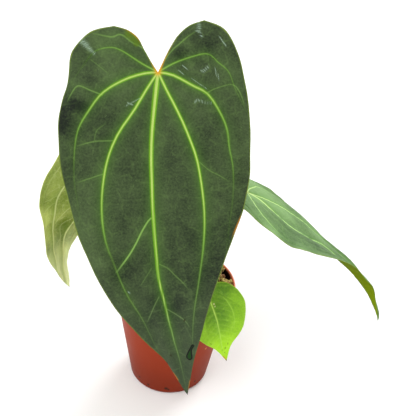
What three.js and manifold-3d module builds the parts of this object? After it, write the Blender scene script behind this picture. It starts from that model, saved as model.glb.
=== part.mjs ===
// A young anthurium hybrid in a round nursery pot, free-standing.
// Millimetres, +Z up, origin at the middle of the pot's base, front towards -Y.
import * as THREE from 'three';
import { mergeVertices } from 'three/addons/utils/BufferGeometryUtils.js';
import Module from 'manifold-3d';

const wasm = await Module();
wasm.setup();

// Pot
const POT_HEIGHT = 84;
const RIM_RADIUS = 45;
const RIM_BAND = 9;
const BAND_STEP = 1.4;
const BAND_TAPER = 0.6;
const BODY_TOP_RADIUS = 41.7;
const BASE_RADIUS = 30.5;
const BASE_ROUND = 3;
const POT_WALL = 1.2;
const BASE_THICKNESS = 1.8;
const DRAIN_HOLES = 8;
const DRAIN_RADIUS = 3;
const DRAIN_CIRCLE = 20;
const POT_SEGMENTS = 48;

// Substrate of bark, moss and soil
const SOIL_LEVEL = 78.5;
const SOIL_MOUND = 0.8;
const HEAP_HEIGHT = 4;
const HEAP_PLACE = [36, 16];
const HEAP_SPREAD = 13;
const SOIL_SEGMENTS = 36;
const SOIL_RINGS = 6;
const BARK_CHIPS = 28;
const CHIP_LENGTH = [7, 13];
const CHIP_THICKNESS = [3, 4.5];
const CHIP_SEED = 41;

// Stem, roots and leaf stalks
const CROWN_RADIUS = 9;
const CROWN_TOP = 84;
const STEM_FOOT = 34;
const STEM_RADIUS = 6;
const ROOT_RADIUS = 2;
const STALK_BASE_RADIUS = 2.8;
const STALK_RADIUS = 2;
const KNEE_RADIUS = 2.5;
const KNEE_LENGTH = 9;
const STALK_SIDES = 8;
const SHEATH_HEIGHT = 34;
const SHEATH_THICKNESS = 0.8;
const SHEATH_WRAP = 80;
const SHEATH_SIDES = [84, 175, 258];

// Blades
const BLADE_THICKNESS = 0.8;
const RIB_HEIGHT = 0.7;
const GAP = 0.35;
const SPINE_STEP = 1;

// Flat outline and main veins of a grown blade, (across, along) from the point where
// the stalk joins it. Each half has its margin from the top of the lobe to the tip, the
// places on it where a vein ends, and the veins: sinus edge, lobe, outer and inner.
const GROWN = {
  length: 207,
  lobe: 32,
  halfWidth: 58,
  left: {
    margin: [
      [-27, -23.3], [-41, -18.5], [-51, -7.3], [-52, 7], [-55, 22], [-56.5, 38], [-54.5, 55],
      [-50, 76], [-44.6, 101.3], [-33, 129.5], [-19, 156], [-8, 176], [-3.5, 191], [0, 207],
    ],
    ends: [0, 4, 8, 11, 13],
    veins: [
      [[0, 0], [-4, -5], [-9, -12], [-13, -18], [-19, -21.8], [-27, -23.3]],
      [[0, 0], [-10, -4], [-22, -10], [-29, -11], [-37, -8], [-43, 0], [-48, 8], [-55, 22]],
      [[0, 0], [-9, 2], [-20, 7], [-31, 15], [-38, 25], [-44, 36], [-46, 50], [-46, 65],
        [-44, 80], [-44.6, 101.3]],
      [[0, 0], [-6, 11], [-12, 23], [-21, 38], [-27, 55], [-30, 78], [-29, 98], [-25, 113],
        [-21, 129], [-14, 148], [-8, 176]],
    ],
  },
  right: {
    margin: [
      [24, -31.6], [36.6, -27.6], [47, -13.5], [51.6, 1], [56, 22], [58, 42], [58, 62],
      [54, 84], [43, 112], [32, 140], [21, 165], [11, 184], [5, 197], [0, 207],
    ],
    ends: [0, 4, 8, 11, 13],
    veins: [
      [[0, 0], [3, -8], [6, -15], [10, -22], [16, -28], [24, -31.6]],
      [[0, 0], [9, -6], [20, -11], [28, -13], [34, -9], [41, -4], [46, 6], [56, 22]],
      [[0, 0], [9, 1], [21, 6], [30, 10], [38, 20], [43, 30], [45, 41], [48, 55], [48, 76],
        [43, 112]],
      [[0, 0], [6, 10], [13, 21], [20, 34], [27, 52], [31, 79], [30, 103], [25, 128],
        [19, 149], [14, 169], [11, 184]],
    ],
  },
};

// The young blade is a plain heart, alike on both sides.
const YOUNG_HALF = {
  margin: [
    [8, -2.2], [13.5, -0.5], [18.5, 4], [22.3, 9.8], [23.7, 15], [22.6, 21], [20, 27],
    [16.5, 32.3], [11.5, 36.3], [7.5, 39.3], [4.3, 43.5], [2, 48], [0, 52],
  ],
  ends: [0, 2, 5, 9, 12],
  veins: [
    [[0, 0], [3, -1.5], [8, -2.2]],
    [[0, 0], [6, 0], [13, 2], [18.5, 4]],
    [[0, 0], [6, 4], [12, 10], [17.5, 16], [22.6, 21]],
    [[0, 0], [4, 8], [8, 18], [9, 29], [7.5, 39.3]],
  ],
};
const mirrored = (points) => points.map(([across, along]) => [-across, along]);
const YOUNG = {
  length: 52,
  lobe: 4,
  halfWidth: 23,
  left: {
    margin: mirrored(YOUNG_HALF.margin),
    ends: YOUNG_HALF.ends,
    veins: YOUNG_HALF.veins.map(mirrored),
  },
  right: YOUNG_HALF,
};

// How each blade hangs, in degrees. faces is the compass side that its upper face looks
// to (0 is -Y, 90 is +X), tilt the lift of that look above level and turn the swing of the
// blade in its own plane. droop, sway and twist are totals over the length if held all
// the way. fold lifts each half at the midrib, and arch bends it back down to the edge.
const BLADES = {
  front: {
    form: GROWN, scale: 1, widen: 1, joins: [-17, -12, 244],
    faces: 2, tilt: 27, turn: -1, droop: [24, 14, 10, 10], sway: [6, 20, 27, 33, 20],
    twist: [0], lobeDroop: -14, foldLeft: [8], foldRight: [8], archLeft: [18],
    archRight: [18], ripple: 1.1, ripples: 7, columns: 5, rows: 15,
    colour: '#4b6040',
  },
  right: {
    form: GROWN, scale: 0.73, widen: 0.78, joins: [45.3, 9, 159.2],
    faces: 89, tilt: 59, turn: -3, droop: [32, -16, 34, 77, 92], sway: [10, 2, 0],
    twist: [34, -16, -21, 36, -28], lobeDroop: 50, foldLeft: [12, 10, 28, 47, 55],
    foldRight: [11, 6, -1, 7, 50], archLeft: [20, 12, 8, 5], archRight: [40, 15, 10, 5],
    ripple: 0.5, ripples: 6, columns: 4, rows: 13,
    colour: '#86ab78',
  },
  left: {
    form: GROWN, scale: 0.7, widen: 0.84, joins: [-56, 34.5, 174],
    faces: 227, tilt: 24, turn: 15, droop: [21, 20, 46, 33], sway: [5, -19, -62],
    twist: [2, -31, -5], lobeDroop: -10, foldLeft: [10, 10, 12, 37],
    foldRight: [17, 25, 10, 24], archLeft: [15], archRight: [15], ripple: 0.9,
    ripples: 6, columns: 4, rows: 13,
    colour: '#93a552',
  },
  young: {
    form: YOUNG, scale: 0.99, widen: 1, joins: [24, -34, 106.8],
    faces: 22, tilt: 38, turn: 10, droop: [10, 15, 20, 20], sway: [0], twist: [0],
    lobeDroop: -5, foldLeft: [8], foldRight: [8], archLeft: [12], archRight: [12],
    ripple: 0.5, ripples: 5, columns: 3, rows: 8,
    colour: '#79b82e',
  },
};

// Stalks: the places they pass through, from the crown up, before they meet the blade.
const STALKS = {
  front: [[-4.7, -0.6, 84.5], [-4.8, 0, 92], [-7, 5, 120], [-11, 9, 160], [-16, 7, 210], [-18, 1, 234]],
  right: [[3.4, 3.2, 84.5], [3.8, 3.3, 92], [9, 5, 107], [20, 7, 126], [33, 8, 144]],
  left: [[-2.2, 5.4, 84.5], [-2.6, 5.8, 92], [-10, 11, 111], [-24, 20, 138], [-41, 29, 162]],
  young: [[3.4, -3.4, 84.5], [3.8, -4.2, 90], [8, -12, 99], [15, -22, 105]],
};
const ROOTS = [
  [[6, 3, 72], [15, 9, 66], [24, 12, 52], [27, 8, 34], [22, 2, 16]],
  [[-6, 4, 70], [-17, 10, 62], [-25, 14, 46], [-24, 16, 26]],
  [[2, -6, 66], [6, -17, 60], [9, -26, 44], [4, -26, 24], [-4, -20, 12]],
  [[-3, -5, 52], [-14, -10, 42], [-21, -14, 26], [-16, -16, 12]],
  [[3, 5, 46], [8, 14, 36], [10, 21, 22], [4, 22, 10]],
];
const AIR_ROOT = [[8, 2, 79], [16, 5, 84.5], [23, 8, 82.5], [28, 10, 74], [29, 11, 60]];

const radians = THREE.MathUtils.degToRad;
const lerp = THREE.MathUtils.lerp;
const vector = (list) => new THREE.Vector3(...list);
const flatCurve = (points) => new THREE.SplineCurve(points.map((p) => new THREE.Vector2(...p)));
const between = (range, share) => lerp(range[0], range[1], share);

// Value of an evenly spaced list at a share of the way along it.
function ramp(list, share) {
  const place = THREE.MathUtils.clamp(share, 0, 1) * (list.length - 1);
  const first = Math.min(Math.floor(place), list.length - 1);
  const next = Math.min(first + 1, list.length - 1);
  return lerp(list[first], list[next], place - first);
}

// Seeded draw of numbers from 0 to 1.
function seededRandom(seed) {
  let state = seed;
  return () => {
    state = (state * 16807) % 2147483647;
    return state / 2147483647;
  };
}

function geometryFrom(vertices, triangles) {
  const geometry = new THREE.BufferGeometry();
  geometry.setAttribute('position', new THREE.Float32BufferAttribute(vertices, 3));
  geometry.setIndex(triangles);
  geometry.computeVertexNormals();
  return geometry;
}

// Solids for joining and cutting, and back again.
function solid(geometry) {
  const bare = geometry.clone();
  bare.deleteAttribute('normal');
  bare.deleteAttribute('uv');
  const merged = mergeVertices(bare, 1e-4);
  return new wasm.Manifold(new wasm.Mesh({
    numProp: 3,
    vertProperties: new Float32Array(merged.attributes.position.array),
    triVerts: new Uint32Array(merged.index.array),
  }));
}

function geometryOf(shape) {
  const mesh = shape.getMesh();
  return geometryFrom(Array.from(mesh.vertProperties), Array.from(mesh.triVerts));
}

function namedMesh(name, geometry, colour, roughness) {
  const material = new THREE.MeshStandardMaterial({ color: colour, roughness, metalness: 0 });
  const mesh = new THREE.Mesh(geometry, material);
  mesh.name = name;
  return mesh;
}

// Turns a profile in the XY plane round Y, then stands it up along Z.
function turned(points, segments) {
  const profile = points.map(([radius, height]) => new THREE.Vector2(radius, height));
  return new THREE.LatheGeometry(profile, segments).rotateX(Math.PI / 2);
}

// Pot: a tapering wall with a wider rim band, a rounded foot and a flat base with holes.
function pot() {
  const bandFoot = POT_HEIGHT - RIM_BAND;
  const innerTop = RIM_RADIUS - POT_WALL;
  const round = [0, 30, 60, 90].map((angle) => [
    BASE_RADIUS - BASE_ROUND * (1 - Math.sin(radians(angle))),
    BASE_ROUND * (1 - Math.cos(radians(angle))),
  ]);
  const profile = [
    [0, 0],
    ...round,
    [BODY_TOP_RADIUS, bandFoot],
    [RIM_RADIUS - 0.8, bandFoot + 0.4],
    [RIM_RADIUS - 0.4, bandFoot + BAND_STEP],
    [RIM_RADIUS, POT_HEIGHT - 0.5],
    [RIM_RADIUS - POT_WALL / 2, POT_HEIGHT],
    [innerTop, POT_HEIGHT - 0.5],
    [innerTop - BAND_TAPER, bandFoot + BAND_STEP],
    [BODY_TOP_RADIUS - POT_WALL, bandFoot - 1],
    [BASE_RADIUS - POT_WALL, BASE_ROUND + 1],
    [BASE_RADIUS - POT_WALL - 1, BASE_THICKNESS],
    [0, BASE_THICKNESS],
  ];
  let shape = solid(turned(profile, POT_SEGMENTS));
  for (let hole = 0; hole < DRAIN_HOLES; hole += 1) {
    const angle = (hole / DRAIN_HOLES) * 2 * Math.PI;
    const drill = new THREE.CylinderGeometry(DRAIN_RADIUS, DRAIN_RADIUS, 8, 12);
    drill.rotateX(Math.PI / 2);
    drill.translate(DRAIN_CIRCLE * Math.cos(angle), DRAIN_CIRCLE * Math.sin(angle), 0);
    shape = shape.subtract(solid(drill));
  }
  return geometryOf(shape);
}

// Inner radius of the pot at a height: a taper up to the step, then the wider rim band.
function innerRadius(height) {
  const low = BASE_ROUND + 1;
  const high = POT_HEIGHT - RIM_BAND - 1;
  if (height > POT_HEIGHT - RIM_BAND + BAND_STEP) {
    return RIM_RADIUS - POT_WALL - BAND_TAPER;
  }
  const share = THREE.MathUtils.clamp((height - low) / (high - low), 0, 1);
  return lerp(BASE_RADIUS - POT_WALL, BODY_TOP_RADIUS - POT_WALL, share);
}

// Closed round bar along a curve, its radius given by the share of the way along.
function bar(points, radiusAt, sides, steps) {
  const path = new THREE.CatmullRomCurve3(points.map(vector), false, 'centripetal');
  const frames = path.computeFrenetFrames(steps, false);
  const vertices = [];
  const triangles = [];
  for (let step = 0; step <= steps; step += 1) {
    const share = step / steps;
    const centre = path.getPointAt(share);
    for (let side = 0; side < sides; side += 1) {
      const angle = (side / sides) * 2 * Math.PI;
      const point = centre.clone();
      point.addScaledVector(frames.normals[step], radiusAt(share) * Math.cos(angle));
      point.addScaledVector(frames.binormals[step], radiusAt(share) * Math.sin(angle));
      vertices.push(point.x, point.y, point.z);
      if (step < steps) {
        const here = step * sides + side;
        const beside = step * sides + ((side + 1) % sides);
        triangles.push(here, beside, here + sides, beside, beside + sides, here + sides);
      }
    }
  }
  const last = steps * sides;
  for (let side = 1; side < sides - 1; side += 1) {
    triangles.push(0, side + 1, side);
    triangles.push(last, last + side, last + side + 1);
  }
  return geometryFrom(vertices, triangles);
}

const rootRadius = (extra) => (share) => ROOT_RADIUS * (1 - 0.35 * share) + extra;
const rootBars = (extra) => [...ROOTS, AIR_ROOT].map(
  (points) => solid(bar(points, rootRadius(extra), 7, 2 * points.length)),
);

// Stem: a fat crown that carries the stalks, on a thinner stem with its roots.
function stemProfile(extra) {
  return [
    [0, STEM_FOOT - extra],
    [STEM_RADIUS - 2 + extra, STEM_FOOT - extra],
    [STEM_RADIUS + extra, STEM_FOOT + 6],
    [STEM_RADIUS + extra, CROWN_TOP - 20],
    [CROWN_RADIUS - 1 + extra, CROWN_TOP - 12],
    [CROWN_RADIUS + extra, CROWN_TOP - 6],
    [CROWN_RADIUS - 0.8 + extra, CROWN_TOP - 1.5],
    [CROWN_RADIUS - 2 + extra, CROWN_TOP + extra],
    [0, CROWN_TOP + extra],
  ];
}

function stem() {
  let shape = solid(turned(stemProfile(0), 20));
  for (const root of rootBars(0)) {
    shape = shape.add(root);
  }
  return geometryOf(shape);
}

// Height of the soil's surface: a low mound with gentle lumps, heaped up at one side.
function soilHeight(x, y) {
  const reach = Math.hypot(x, y) / innerRadius(SOIL_LEVEL);
  const lumps = 0.6 * Math.sin(x / 4.1 + 1) * Math.cos(y / 5.3) + 0.4 * Math.sin((x + y) / 3);
  const beside = Math.hypot(x - HEAP_PLACE[0], y - HEAP_PLACE[1]) / HEAP_SPREAD;
  const heap = HEAP_HEIGHT * Math.exp(-0.5 * beside * beside);
  return SOIL_LEVEL + SOIL_MOUND * (1 - reach * reach) + lumps + heap;
}

function soilBody() {
  const vertices = [];
  const triangles = [];
  const top = innerRadius(SOIL_LEVEL) - GAP;
  const rings = [];
  for (let ring = 1; ring <= SOIL_RINGS; ring += 1) {
    rings.push({ radius: (top * ring) / SOIL_RINGS, surface: true });
  }
  const wallHeights = [POT_HEIGHT - RIM_BAND - 1.2, 60, 40, 20, BASE_ROUND + 1];
  wallHeights.forEach((height) => rings.push({ radius: innerRadius(height) - GAP, height }));
  rings.push({ radius: BASE_RADIUS - POT_WALL - 1 - GAP, height: BASE_THICKNESS + GAP });
  vertices.push(0, 0, soilHeight(0, 0));
  for (const { radius, surface, height } of rings) {
    for (let segment = 0; segment < SOIL_SEGMENTS; segment += 1) {
      const angle = (segment / SOIL_SEGMENTS) * 2 * Math.PI;
      const x = radius * Math.cos(angle);
      const y = radius * Math.sin(angle);
      vertices.push(x, y, surface ? soilHeight(x, y) : height);
    }
  }
  const bottom = vertices.length / 3;
  vertices.push(0, 0, BASE_THICKNESS + GAP);
  for (let segment = 0; segment < SOIL_SEGMENTS; segment += 1) {
    const next = (segment + 1) % SOIL_SEGMENTS;
    triangles.push(0, 1 + segment, 1 + next);
    for (let ring = 0; ring < rings.length - 1; ring += 1) {
      const inner = 1 + ring * SOIL_SEGMENTS;
      const outer = inner + SOIL_SEGMENTS;
      triangles.push(inner + segment, outer + segment, outer + next);
      triangles.push(inner + segment, outer + next, inner + next);
    }
    const last = 1 + (rings.length - 1) * SOIL_SEGMENTS;
    triangles.push(bottom, last + next, last + segment);
  }
  return geometryFrom(vertices, triangles);
}

// One bark chip: a flattened, corner-cut lump, half sunk in the surface.
function barkChip(random) {
  const length = between(CHIP_LENGTH, random());
  const thickness = between(CHIP_THICKNESS, random());
  const reach = lerp(CROWN_RADIUS + 8, innerRadius(SOIL_LEVEL) - length / 2 - 1.2, Math.sqrt(random()));
  const angle = random() * 2 * Math.PI;
  const x = reach * Math.cos(angle);
  const y = reach * Math.sin(angle);
  const chip = new THREE.IcosahedronGeometry(0.5, 0);
  chip.scale(length, length * between([0.45, 0.7], random()), thickness);
  chip.rotateX(between([-0.35, 0.35], random()));
  chip.rotateY(between([-0.3, 0.3], random()));
  chip.rotateZ(random() * Math.PI);
  chip.translate(x, y, soilHeight(x, y) + 0.15 * thickness);
  return solid(chip);
}

function substrate() {
  const random = seededRandom(CHIP_SEED);
  let shape = solid(soilBody());
  for (let chip = 0; chip < BARK_CHIPS; chip += 1) {
    shape = shape.add(barkChip(random));
  }
  shape = shape.subtract(solid(turned(stemProfile(GAP + 0.1), 20)));
  for (const root of rootBars(GAP + 0.1)) {
    shape = shape.subtract(root);
  }
  return geometryOf(shape);
}

// Flat place of a blade at share p across, from the left sinus edge (0) over the tip (4)
// to the right one (8), and share q from the stalk to the margin: a blend of the two
// neighbouring veins, pushed out to the margin as q grows.
function flatBlade(form) {
  const half = (side) => ({
    margin: flatCurve(side.margin),
    ends: side.ends.map((end) => end / (side.margin.length - 1)),
    veins: side.veins.map(flatCurve),
  });
  const halves = [half(form.left), half(form.right)];
  const tip = new THREE.Vector2(0, form.length);
  const vein = (side, index, q) => (
    index === 4 ? tip.clone().multiplyScalar(q) : side.veins[index].getPointAt(q)
  );
  return (p, q) => {
    const side = halves[p <= 4 ? 0 : 1];
    const order = p <= 4 ? p : 8 - p;
    const index = Math.min(Math.floor(order), 3);
    const share = order - index;
    const inside = vein(side, index, q).lerp(vein(side, index + 1, q), share);
    const start = side.margin.getPoint(side.ends[index]);
    const end = side.margin.getPoint(side.ends[index + 1]);
    const margin = side.margin.getPoint(lerp(side.ends[index], side.ends[index + 1], share));
    return inside.addScaledVector(margin.sub(start.lerp(end, share)), q * q);
  };
}

// Frames along the blade's bent midrib, a step apart, from behind the lobes to the tip.
function bladeSpine(blade) {
  const length = blade.form.length * blade.scale;
  const lobe = blade.form.lobe * blade.scale;
  const faces = radians(blade.faces);
  const tilt = radians(blade.tilt);
  const turn = radians(blade.turn);
  const down = vector([
    Math.sin(faces) * Math.sin(tilt), -Math.cos(faces) * Math.sin(tilt), -Math.cos(tilt),
  ]);
  const level = vector([Math.cos(faces), Math.sin(faces), 0]);
  const start = { centre: vector(blade.joins) };
  start.along = down.clone().multiplyScalar(Math.cos(turn)).addScaledVector(level, Math.sin(turn));
  start.across = level.clone().multiplyScalar(Math.cos(turn)).addScaledVector(down, -Math.sin(turn));
  start.up = start.along.clone().cross(start.across);
  const march = (steps, way, bends) => {
    const frames = [start];
    for (let step = 0; step < steps; step += 1) {
      const { centre, along, across, up } = frames[step];
      const bend = bends((step + 0.5) * SPINE_STEP);
      const next = {};
      next.along = along.clone().addScaledVector(up, -way * bend.droop * SPINE_STEP);
      next.along.addScaledVector(across, bend.sway * SPINE_STEP).normalize();
      next.across = across.clone().addScaledVector(along, -bend.sway * SPINE_STEP);
      next.across.addScaledVector(up, bend.twist * SPINE_STEP);
      next.across.addScaledVector(next.along, -next.across.dot(next.along)).normalize();
      next.up = next.along.clone().cross(next.across);
      const middle = along.clone().add(next.along).multiplyScalar((way * SPINE_STEP) / 2);
      next.centre = centre.clone().add(middle);
      frames.push(next);
    }
    return frames;
  };
  const towardsTip = march(Math.ceil(length / SPINE_STEP), 1, (along) => ({
    droop: radians(ramp(blade.droop, along / length)) / length,
    sway: radians(ramp(blade.sway, along / length)) / length,
    twist: radians(ramp(blade.twist, along / length)) / length,
  }));
  const towardsLobes = march(Math.ceil(lobe / SPINE_STEP), -1, () => ({
    droop: radians(blade.lobeDroop) / lobe,
    sway: 0,
    twist: 0,
  }));
  return { frames: [...towardsLobes.slice(1).reverse(), ...towardsTip], zero: towardsLobes.length - 1 };
}

// Bends a flat place of the blade into space. Each half leaves the midrib at its fold
// angle and turns down in an arc as it goes out.
function bladeBend(blade) {
  const { frames, zero } = bladeSpine(blade);
  const length = blade.form.length * blade.scale;
  const halfWidth = blade.form.halfWidth * blade.scale * blade.widen;
  return (across, along, lift) => {
    const place = THREE.MathUtils.clamp(along / SPINE_STEP + zero, 0, frames.length - 1.001);
    const index = Math.floor(place);
    const blend = (key) => frames[index][key].clone().lerp(frames[index + 1][key], place - index);
    const axis = blend('across').normalize();
    const up = blend('up').normalize();
    const side = across < 0 ? -1 : 1;
    const share = along / length;
    const fold = radians(ramp(side < 0 ? blade.foldLeft : blade.foldRight, share));
    const arch = radians(ramp(side < 0 ? blade.archLeft : blade.archRight, share)) / halfWidth;
    const end = fold - arch * Math.abs(across);
    const out = (Math.sin(fold) - Math.sin(end)) / arch;
    const rise = (Math.cos(end) - Math.cos(fold)) / arch;
    const centred = THREE.MathUtils.clamp(Math.abs(across) / 1.5, 0, 1);
    const lean = side * end * centred;
    const point = blend('centre').addScaledVector(axis, side * out).addScaledVector(up, rise);
    point.addScaledVector(axis, -Math.sin(lean) * lift);
    return point.addScaledVector(up, Math.cos(lean) * lift);
  };
}

// Blade: an upper face on the bent surface and a lower one under it, split alike, with
// ribs under the main veins and a narrow wall round the edge.
function bladeGeometry(blade) {
  const flat = flatBlade(blade.form);
  const bend = bladeBend(blade);
  const columns = 8 * blade.columns;
  const rows = blade.rows;
  const vertices = [];
  const triangles = [];
  const place = (p, q, depth) => {
    const spot = flat(p, q).multiplyScalar(blade.scale);
    const wave = blade.ripple * q ** 3 * Math.sin((Math.PI * blade.ripples * p) / 4);
    const point = bend(spot.x * blade.widen, spot.y, wave - depth);
    vertices.push(point.x, point.y, point.z);
  };
  const index = (face, column, row) => (
    face * (1 + rows * (columns + 1)) + (row === 0 ? 0 : 1 + (row - 1) * (columns + 1) + column)
  );
  for (const face of [0, 1]) {
    place(4, 0, face * (BLADE_THICKNESS + RIB_HEIGHT));
    for (let row = 1; row <= rows; row += 1) {
      for (let column = 0; column <= columns; column += 1) {
        const p = (8 * column) / columns;
        const q = row / rows;
        const onVein = column % blade.columns === 0 && column > 0 && column < columns;
        const rib = onVein ? RIB_HEIGHT * (1 - q) : 0;
        place(p, q, face * (BLADE_THICKNESS + rib));
      }
    }
  }
  const quad = (a, b, c, d) => triangles.push(a, b, c, a, c, d);
  for (let column = 0; column < columns; column += 1) {
    triangles.push(index(0, 0, 0), index(0, column, 1), index(0, column + 1, 1));
    triangles.push(index(1, 0, 0), index(1, column + 1, 1), index(1, column, 1));
    for (let row = 1; row < rows; row += 1) {
      quad(
        index(0, column, row), index(0, column, row + 1),
        index(0, column + 1, row + 1), index(0, column + 1, row),
      );
      quad(
        index(1, column + 1, row + 1), index(1, column, row + 1),
        index(1, column, row), index(1, column + 1, row),
      );
    }
    quad(
      index(0, column, rows), index(1, column, rows),
      index(1, column + 1, rows), index(0, column + 1, rows),
    );
  }
  for (let row = 0; row < rows; row += 1) {
    quad(index(0, 0, row), index(1, 0, row), index(1, 0, row + 1), index(0, 0, row + 1));
    quad(
      index(0, columns, row), index(0, columns, row + 1),
      index(1, columns, row + 1), index(1, columns, row),
    );
  }
  return geometryFrom(vertices, triangles);
}

// Leaf stalk: thick at its foot, slim, then swollen at the knee under the blade.
function stalkGeometry(name) {
  const blade = BLADES[name];
  const bend = bladeBend(blade);
  const seat = KNEE_RADIUS * 1.2;
  const depth = BLADE_THICKNESS + RIB_HEIGHT + GAP;
  const end = bend(0, seat, -depth);
  const knee = bend(0, seat, -depth - KNEE_LENGTH * 0.5);
  const points = [...STALKS[name], knee.toArray(), end.toArray()];
  const length = new THREE.CatmullRomCurve3(points.map(vector)).getLength();
  const radiusAt = (share) => {
    const foot = Math.exp(-(share * length) / 12);
    const beforeEnd = (length * (1 - share)) / KNEE_LENGTH;
    const swell = 1 - THREE.MathUtils.smoothstep(beforeEnd, 0.5, 1.6);
    const flare = (STALK_BASE_RADIUS - STALK_RADIUS) * foot;
    return STALK_RADIUS + flare + (KNEE_RADIUS - STALK_RADIUS) * swell;
  };
  return bar(points, radiusAt, STALK_SIDES, Math.max(10, Math.round(length / 8)));
}

// Dry sheath: a narrow pointed scale, curved round the crown and leaning out.
function sheathGeometry(angle) {
  const columns = 6;
  const rows = 7;
  const wrap = radians(SHEATH_WRAP);
  const vertices = [];
  const triangles = [];
  for (const face of [0, 1]) {
    for (let row = 0; row <= rows; row += 1) {
      for (let column = 0; column <= columns; column += 1) {
        const height = row / rows;
        const narrow = 1 - 0.93 * height ** 1.7;
        const turn = angle + wrap * narrow * (column / columns - 0.5);
        const lean = 6 * height ** 1.5;
        const radius = CROWN_RADIUS + GAP + lean + face * SHEATH_THICKNESS;
        vertices.push(radius * Math.cos(turn), radius * Math.sin(turn),
          CROWN_TOP - 4 + SHEATH_HEIGHT * height);
      }
    }
  }
  const index = (face, column, row) => (face * (rows + 1) + row) * (columns + 1) + column;
  const quad = (a, b, c, d) => triangles.push(a, b, c, a, c, d);
  for (let row = 0; row < rows; row += 1) {
    for (let column = 0; column < columns; column += 1) {
      quad(index(1, column, row), index(1, column + 1, row),
        index(1, column + 1, row + 1), index(1, column, row + 1));
      quad(index(0, column, row + 1), index(0, column + 1, row + 1),
        index(0, column + 1, row), index(0, column, row));
    }
    quad(index(0, 0, row), index(1, 0, row), index(1, 0, row + 1), index(0, 0, row + 1));
    quad(index(0, columns, row), index(0, columns, row + 1),
      index(1, columns, row + 1), index(1, columns, row));
  }
  for (let column = 0; column < columns; column += 1) {
    quad(index(0, column, 0), index(0, column + 1, 0), index(1, column + 1, 0), index(1, column, 0));
    quad(index(0, column, rows), index(1, column, rows),
      index(1, column + 1, rows), index(0, column + 1, rows));
  }
  return geometryFrom(vertices, triangles);
}

const plant = new THREE.Group();
plant.add(namedMesh('pot', pot(), '#a1442e', 0.5));
plant.add(namedMesh('substrate', substrate(), '#5c4026', 0.95));
plant.add(namedMesh('stem', stem(), '#8a8b4a', 0.8));
for (const name of Object.keys(BLADES)) {
  plant.add(namedMesh(`stalk_${name}`, stalkGeometry(name), '#7c9a45', 0.5));
  plant.add(namedMesh(`blade_${name}`, bladeGeometry(BLADES[name]), BLADES[name].colour, 0.6));
}
SHEATH_SIDES.forEach((angle, order) => {
  plant.add(namedMesh(`sheath_${order + 1}`, sheathGeometry(radians(angle)), '#9b7a4c', 0.9));
});

export default plant;
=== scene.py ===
import bpy
import numpy as np
from mathutils import Matrix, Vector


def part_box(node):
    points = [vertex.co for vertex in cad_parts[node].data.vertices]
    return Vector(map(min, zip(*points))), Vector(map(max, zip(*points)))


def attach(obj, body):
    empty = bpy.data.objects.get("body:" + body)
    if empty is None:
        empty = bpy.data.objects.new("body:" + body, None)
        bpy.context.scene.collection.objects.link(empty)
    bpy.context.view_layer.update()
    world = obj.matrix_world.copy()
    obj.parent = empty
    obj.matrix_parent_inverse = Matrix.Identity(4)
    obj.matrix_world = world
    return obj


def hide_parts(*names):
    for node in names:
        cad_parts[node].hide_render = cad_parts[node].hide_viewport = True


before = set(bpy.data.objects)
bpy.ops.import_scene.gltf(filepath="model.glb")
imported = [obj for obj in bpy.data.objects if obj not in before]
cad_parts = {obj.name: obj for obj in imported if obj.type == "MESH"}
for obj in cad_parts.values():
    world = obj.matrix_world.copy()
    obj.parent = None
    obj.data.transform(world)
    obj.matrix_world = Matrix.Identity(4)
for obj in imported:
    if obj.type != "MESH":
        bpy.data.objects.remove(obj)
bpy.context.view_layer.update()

bl_info = {
    "name": "Potted anthurium hybrid",
    "version": (1, 0, 0),
    "blender": (4, 5, 0),
    "location": "View3D > Sidebar > Anthurium",
    "description": "Builds a young anthurium hybrid in a round nursery pot",
    "category": "Add Mesh",
}

MM = 0.001
POT_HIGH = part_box("pot")[1]

# Pot, in millimetres where the frame doesn't say
BASE_ROUND = 3
BASE_THICKNESS = 1.8
FOOT_RING_INNER = 24.3
FOOT_RECESS = 0.5
BAND_STEP = 1.4
BAND_TAPER = 0.6
DRAIN_HOLES = 8
DRAIN_RADIUS = 3
DRAIN_CIRCLE = 20
POT_SEGMENTS = 160

# Substrate
HEAP_HEIGHT = 4
HEAP_PLACE = (36, 16)
HEAP_SPREAD = 13
HOLLOW_PLACE = (38.5, 16)
HOLLOW_DEPTH = 12
HOLLOW_SPREAD = (3, 5)
SOIL_GAP = 0.35
SOIL_SEGMENTS = 150
SOIL_RINGS = 56
BIG_CHIPS = 28
BIG_CHIP_SEED = 41
BIG_CHIP_LENGTH = (7, 13)
BIG_CHIP_THICKNESS = (3, 4.5)
SMALL_CHIP_SEED = 12
SMALL_CHIP_LENGTH = (3, 7.5)
SMALL_CHIP_THICKNESS = (1.2, 2.6)
STRAND_SEED = 77
STRAND_LENGTH = (4, 15)
STRAND_RADIUS = (0.14, 0.42)
STRAND_RINGS = 7
STRANDS_ON_HEAP = 0.22
CROWN_CLEARANCE = 11

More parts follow.
